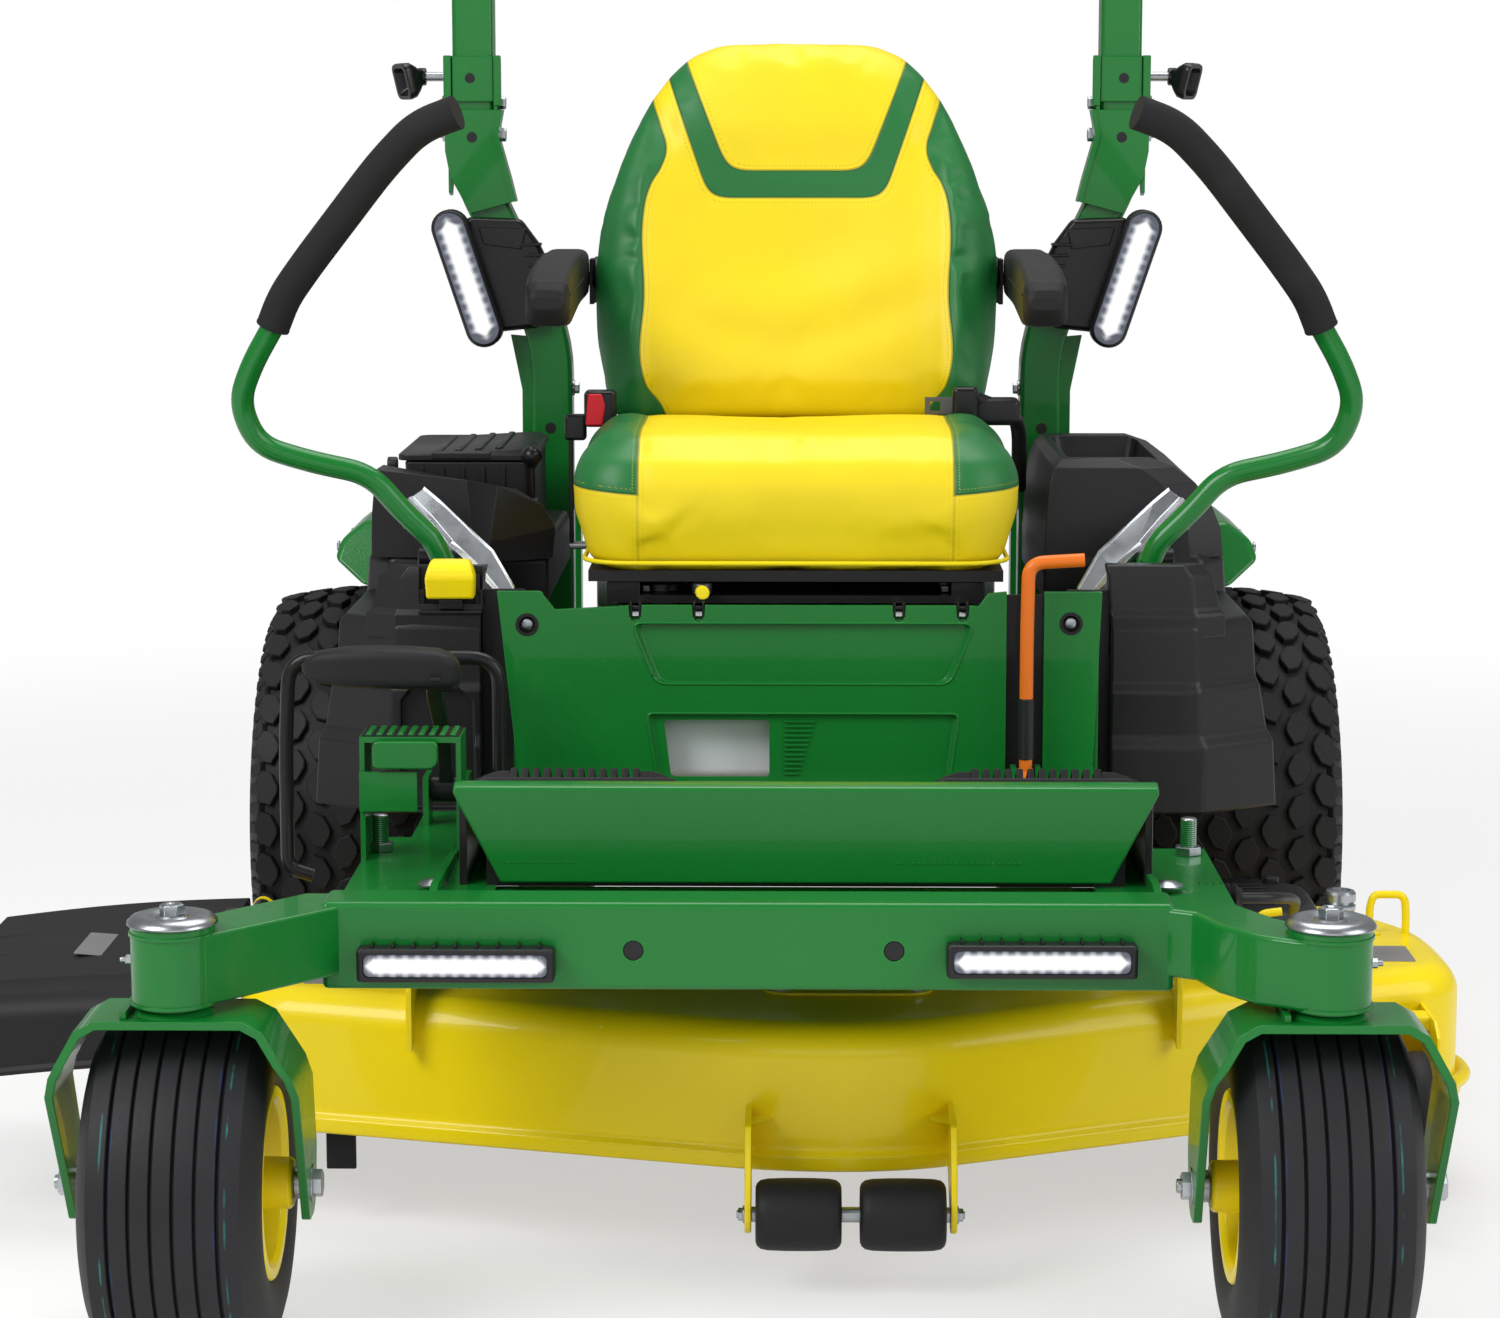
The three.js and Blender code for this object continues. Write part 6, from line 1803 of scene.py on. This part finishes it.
bumper = tube([(700, 584, 121), (715, 606, 121), (723.4, 630, 121), (723.4, 668, 121), (716, 690, 121)],
              8, 20, 6)
place(bumper, "deck_corner_bumper", deckNode, yellowPaint, smooth=70)
place(heads, "deck_bolts", deckNode, zincPlate, smooth=30)

spout = [(high - 1, 0), (high - 1, 15), (high + 4, 15), (high + 5, 13), (300, 13), (300, 16), (304, 17),
         (306, 14.5), (309, 17), (313, 17), (315, 14), (318, 17), (326, 17), (328.6, 15), (329.4, 11),
         (322, 10), (322, 0)]
fitting = lathe("z", (580, 600, 0), spout, 36)
place(fitting, "washout_fitting", deckNode, zincPlate, smooth=35)
loops = group(tube([(651, 706, high - 2), (651, 706, 280), (655, 706, 293.6), (689, 706, 293.6),
                    (691, 706, 272), (691, 706, high - 4)], 4.4, 14, 6).moved(-16, 34, 0),
              tube([(490, 566, high - 2), (486, 566, 290), (490, 566, 310), (514, 566, 313)], 4.4, 12, 6),
              plate("z", flatRound(624, 646, 728, 752, 5), high, high + 2.4, 0.8),
              plate("z", flatRound(478, 502, 554, 578, 5), high, high + 2.4, 0.8))
place(loops, "deck_handles", deckNode, yellowPaint, smooth=70)
labels = group(plate("z", flatRound(-512, -461, 490, 546, 3), high + 0.1, high + 0.5, 0),
               plate("z", flatRound(606, 664, 604, 676, 3), high + 0.1, high + 0.5, 0))
place(labels, "deck_blank_plates", deckNode, plateBlank)
place(block(-486, -455, 452, 457, 62, 112, 1.5), "deck_front_baffle", deckNode, blackPaint)


def squareLoft(x, y, levels):
    return loft([ringRound(x - half, x + half, y - half, y + half, z, radius) for half, z,
                 radius in levels])


for key, side in sides:
    x, y = spindleSpots[key]
    hood = squareLoft(x, y, ((100, high + 5, 60), (100, 288, 60), (94, 296, 58), (84, 299, 54)))
    hood = combine(hood, squareLoft(x, y, ((97, 240, 58), (97, 288, 58), (88, 294, 55))))
    hood = combine(hood, block(min(x, x - side * 130), max(x, x - side * 130), y - 90, y + 62, 240, 284, 0))
    place(hood, "belt_cover_" + key, deckNode, blackPlastic, smooth=35)
    vents = Part()
    for i in range(7):
        vents.add(block(x - 50, x + 50, y - 52 + i * 17, y - 45 + i * 17, 298.4, 300.6, 1))
    vents.add(axleRod("z", 297, 306, (x + 60 * side, y + 66), 9, 2, 20))
    place(vents, "belt_cover_ribs_" + key, deckNode, blackPlastic)

hub = 57.5
beltLine = []
for key, start, end in (("left", 94.96, 255.15), ("centre", 255.15, 293.68), ("right", 293.68, 454.96)):
    beltLine += arc(*spindleSpots[key], hub, start, end, 14)
band = plate("z", beltLine, 264, 276, 0)
inner = plate("z", [tuple(Vector(p) + (Vector((55, 627)) - Vector(p)).normalized() * 6)
                    for p in beltLine], 255, 285, 0)
belt = combine(band, inner)
place(belt, "deck_belt", deckNode, softRubber, smooth=30)

for key, (x, y) in spindleSpots.items():
    home = "spindle_" + key
    groove = [(256, 0), (256, 60), (257, 65.6), (260, 65.6), (262, 63), (267, 56.4), (273, 56.4),
              (278, 63), (280, 65.6), (283, 65.6), (284, 60), (282, 30), (282, 22), (284, 20), (284, 0)]
    pulley = lathe("z", (x, y, 0), groove, 72)
    place(pulley, "spindle_pulley_" + key, home, darkSteel, smooth=35)
    housing = [(128, 0), (128, 20), (136, 22), (138, 17), (206, 17), (210, 30), (216, 33.6), (240, 33.6),
               (243, 30), (243, 16), (256, 16), (256, 0)]
    shaft = lathe("z", (x, y, 0), housing, 48)
    shaft.add(lathe("z", (x, y, 0), [(283, 0), (283, 9), (high + 18, 9), (high + 19.6, 8),
                                     (high + 19.8, 0)], 24))
    place(shaft, "spindle_hub_" + key, home, castAlloy, "spindle_" + key, smooth=35)
    low, top = boxOf(home)
    reach = (top.x - low.x) / 2
    blade = Part()
    for s in (-1, 1):
        rings = []
        for along, lift in ((0, 0), (70, 0), (reach - 120, 0), (reach - 70, 9), (reach - 3, 16)):
            section = [(-26, 128.4), (-17, 133.6), (10, 133.6), (26, 133.6 + lift), (26, 130.2 + lift),
                       (10, 128.4)]
            rings.append([(x + s * along, y + s * v, z) for v, z in section])
        blade.add(loft(rings))
    blade.tidied()
    blade.add(axleRod("z", 128.1, 129.6, (x, y), 15, 0.4, 28))
    place(blade, "mower_blade_" + key, home, darkSteel, smooth=30)
print("deck done")

chute = {"in": -623, "out": -898.6, "pinX": -599, "pinZ": 262}
chuteNode = "discharge_chute"


def chuteRing(x, front, rear, top, drop, back):
    outer = [(rear, top - back), (rear, top - 14), *arc(rear - 12, top - 12, 12, 0, 90, 4),
             (front + 66, top), (front + 58, top - 3), (front + 34, top - 5),
             *arc(front + 26, top - 31, 26, 96, 180, 6), (front, top - drop + 8),
             (front - 3, top - drop + 4), (front - 3, top - drop)]
    inner = [(front + 3, top - drop), (front + 4.5, top - 34), *arc(front + 27, top - 31, 21.5, 180, 96,
            6), (front + 36, top - 9.5), (front + 60, top - 7.5), (front + 68, top - 4.5),
             *arc(rear - 13, top - 13, 8, 90, 0, 4), (rear - 4.5, top - back)]
    return [(x, u, v) for u, v in outer + inner]


rings = []
for i in range(9):
    t = i / 8
    x = chute["in"] + (chute["out"] - chute["in"]) * t
    sweep = 12 * math.sin(t * math.pi)
    rings.append(chuteRing(x, 424 + 32 * t - sweep * 0.4, 866 - 8 * t, 261 - 21 * t + sweep * 0.35,
                           78 + 11 * t, 46 + 22 * t))
flap = loft(rings)
place(flap, "chute_flap", chuteNode, softRubber, "discharge_chute", smooth=34)
ridges = Part()
for i in range(3):
    y = 540 + i * 96
    ridges.add(loft([[(x, y - 5, foot), (x, y, crest), (x, y + 5, foot), (x, y, keel)] for x, foot, crest,
                     keel in ((chute["in"] - 20, 259.6, 263, 256),
                              (chute["out"] + 14, 240.6, 243.4, 237))]))
place(ridges, "chute_ridges", chuteNode, softRubber)
knuckle = Part()
for i in range(4):
    y0 = 504 + i * 74
    barrel = lathe("y", (chute["pinX"], 0, chute["pinZ"]), [(y0, 5.6), (y0, 10.2), (y0 + 1, 11),
            (y0 + 69, 11), (y0 + 70, 10.2), (y0 + 70, 5.6)], 28, closed=True)
    knuckle.add(barrel)
knuckle.add(block(-640, -606, 504, 796, 258.6, 262.6, 1.4))
for i in range(4):
    knuckle.add(bolt((-628, 540 + i * 72, 262.6), (0, 0, 1), 5, 3))
place(knuckle, "chute_hinge", chuteNode, blackPaint, smooth=40)
slope = Matrix.Translation((-745, 640, 255.6)) @ Matrix.Rotation(math.radians(4.3), 4, "Y")
place(plate("z", flatRound(-27, 27, -50, 50, 3), 0, 0.6, 0).turned(slope), "chute_blank_plate", chuteNode,
      plateBlank)
ears = Part()
for y in (494, 800):
    ears.add(plate("y", [(deck["left"] + 14, 240), (deck["left"] + 14, 262),
                         *arc(chute["pinX"], chute["pinZ"], 12, 40, 180, 6), (-609, 240)], y, y + 6, 1.2))
place(ears, "chute_hinge_ears", deckNode, yellowPaint)

def hingePin(y0, y1, radius, edge):
    return axleRod("y", y0, y1, (chute["pinX"], chute["pinZ"]), radius, edge)


place(group(hingePin(490.5, 809.5, 4.8, 0.6), hingePin(489, 493.4, 8, 0.8)), "chute_hinge_pin", deckNode,
      zincPlate)
print("chute done")


# ---- engine and rear guard ----
engineNode = "engine_block"
low, top = boxOf("engine_block")
middle = (low + top) / 2
soften("engine_block", castAlloy, 2.0)
cylinder = {"z": 520, "fins": 9, "from": 190, "pitch": 7.4, "radius": 78}
cooling = Part()
for side in (-1, 1):
    for i in range(cylinder["fins"]):
        x = side * (cylinder["from"] + i * cylinder["pitch"])
        cooling.add(axleRod("x", x - 1.4, x + 1.4, (middle.y, cylinder["z"]), cylinder["radius"], 0.6, 48))
    cap = [(250, 0), (250, 62), (258, 62), (261, 58), (261.8, 0)]
    cooling.add(lathe("x", (0, middle.y, cylinder["z"]), sided(side, cap), 48))
place(cooling, "engine_cylinder_fins", engineNode, castAlloy, smooth=40)
can = [(-150, 0), (-150, 40), (-146, 46), (-140, 48)]
muffler = lathe("x", (0, top.y - 50, 470), can + flipped(can), 48)
place(muffler, "engine_muffler", engineNode, darkSteel, smooth=40)
oil = lathe("y", (60, 0, 560), [(low.y, 0), (low.y, 26), (low.y + 4, 34), (low.y + 30, 34),
                                (low.y + 30, 0)], 36)
place(oil, "oil_filter", engineNode, blackPaint, smooth=40)

low, top = boxOf("engine_shroud")
soften("engine_shroud", blackPlastic, 3.5)
crown = Part()
midTop = Matrix.Translation(((low.x + top.x) / 2, (low.y + top.y) / 2, 0))
for i in range(9):
    crown.add(block(-3, 3, 24, 66, 831.0, 832.6, 0.8), midTop @ Matrix.Rotation(math.radians(i * 40), 4,
            "Z"))
place(crown, "shroud_crown_ribs", engineNode, blackPlastic)
grille = Part()
for i in range(8):
    z = 640 + i * 11
    grille.add(block(-120, 120, top.y - 1.2, top.y - 0.1, z, z + 4, 0.5))
    for side in (-1, 1):
        grille.add(block(side * 209.5 - 0.9, side * 209.5 + 0.4, low.y + 70, top.y - 70, z, z + 4, 0.4))
place(grille, "shroud_louvres", engineNode, blackPlastic)
soften("rear_guard", greenPaint, 2.0)
print("engine done")


# ---- floor, light and camera ----
stand = {"floor": 14.0, "paper": 0.86, "lift": 0.55, "mirror": 0.45, "fadeFrom": 1.6, "fadeTo": 4.2}
studio = {"world": 0.36, "mirror": 0.3, "key": 135.0, "fill": 58.0, "rim": 80.0, "front": 12.0}
view = {"spot": (0, -3160, 1145), "down": 8.6, "aside": 0.732, "lens": 86.4, "sensor": 36.0}


def studioRays(look):
    # one for the rays that see the backdrop itself, in the view or in a reflection
    rays = look.node("ShaderNodeLightPath")
    outputs = rays.socket.node.outputs
    camera = Wire(look, outputs["Is Camera Ray"])
    mirror = Wire(look, outputs["Is Glossy Ray"]).most(Wire(look, outputs["Is Transmission Ray"]))
    return camera, mirror


def makeFloor():
    sheetPart = Part()
    bmesh.ops.create_circle(sheetPart.bm, cap_ends=True, segments=96, radius=stand["floor"] * 1000)
    look = Look("pale_studio_floor", None)
    camera, mirror = studioRays(look)
    away = look.node("ShaderNodeVectorMath", {"operation": "LENGTH"}, {0: look.place}, "Value")
    fade = look.step(away, stand["fadeFrom"], stand["fadeTo"])
    glow = look.node("ShaderNodeEmission", None, {"Color": (1.0, 1.0, 1.0), "Strength": 1.0})
    matt = look.node("ShaderNodeBsdfDiffuse", None, {"Color": (stand["paper"],) * 3})
    seen = camera.most(mirror * stand["mirror"])
    share = seen * (stand["lift"] + (1 - stand["lift"]) * fade)
    mixed = look.node("ShaderNodeMixShader", None, {0: share, 1: matt, 2: glow})
    ending = next(n for n in look.tree.nodes if n.type == "OUTPUT_MATERIAL")
    look.tree.links.new(mixed.socket, ending.inputs[0])
    sheetPart.turned(Matrix.Scale(0.001, 4))
    floor = shown(sheetPart, "studio_floor")
    floor.data.materials.append(look.material)


def makeLamp(name, spot, aim, width, power):
    light = bpy.data.lights.new(name, "AREA")
    light.shape = "RECTANGLE"
    light.size, light.size_y = width
    light.energy = power
    lamp = bpy.data.objects.new(name, light)
    scene.collection.objects.link(lamp)
    lamp.location = Vector(spot)
    lamp.rotation_euler = (Vector(aim) - Vector(spot)).to_track_quat("-Z", "Y").to_euler()


def makeWorld():
    world = bpy.data.worlds.new("studio_world")
    scene.world = world
    world.use_nodes = True
    tree = world.node_tree
    tree.nodes.clear()
    rays = tree.nodes.new("ShaderNodeLightPath")
    shell = tree.nodes.new("ShaderNodeBackground")
    ending = tree.nodes.new("ShaderNodeOutputWorld")
    glossy = tree.nodes.new("ShaderNodeMix")
    glossy.inputs[2].default_value, glossy.inputs[3].default_value = studio["world"], studio["mirror"]
    seen = tree.nodes.new("ShaderNodeMix")
    seen.inputs[3].default_value = 1.0
    either = tree.nodes.new("ShaderNodeMath")
    either.operation = "MAXIMUM"
    tree.links.new(rays.outputs["Is Glossy Ray"], either.inputs[0])
    tree.links.new(rays.outputs["Is Transmission Ray"], either.inputs[1])
    tree.links.new(either.outputs[0], glossy.inputs[0])
    tree.links.new(glossy.outputs[0], seen.inputs[2])
    tree.links.new(rays.outputs["Is Camera Ray"], seen.inputs[0])
    tree.links.new(seen.outputs[0], shell.inputs["Strength"])
    tree.links.new(shell.outputs[0], ending.inputs[0])
    shell.inputs["Color"].default_value = (1, 1, 1, 1)


def makeCamera():
    camera = bpy.data.cameras.new("front_view")
    camera.lens, camera.sensor_width = view["lens"], view["sensor"]
    camera.clip_end = 60
    obj = bpy.data.objects.new("front_view", camera)
    scene.collection.objects.link(obj)
    obj.location = toRow @ Vector(view["spot"])
    obj.rotation_euler = (math.radians(90 - view["down"]), 0, math.radians(view["aside"]))
    scene.camera = obj


makeFloor()
makeWorld()
centre = datum + Vector((0, 0.6, 0.7))
makeLamp("key_box", centre + Vector((-2.6, -2.4, 2.6)), centre, (2.2, 2.2), studio["key"])
makeLamp("fill_box", centre + Vector((3.0, -1.8, 1.6)), centre, (2.4, 2.4), studio["fill"])
makeLamp("top_box", centre + Vector((0.3, 1.0, 3.2)), centre, (2.6, 2.6), studio["rim"])
makeLamp("front_box", centre + Vector((0.2, -3.4, 0.6)), centre, (3.0, 1.2), studio["front"])
makeCamera()
scene.view_settings.view_transform = "Standard"

print("scene ready")
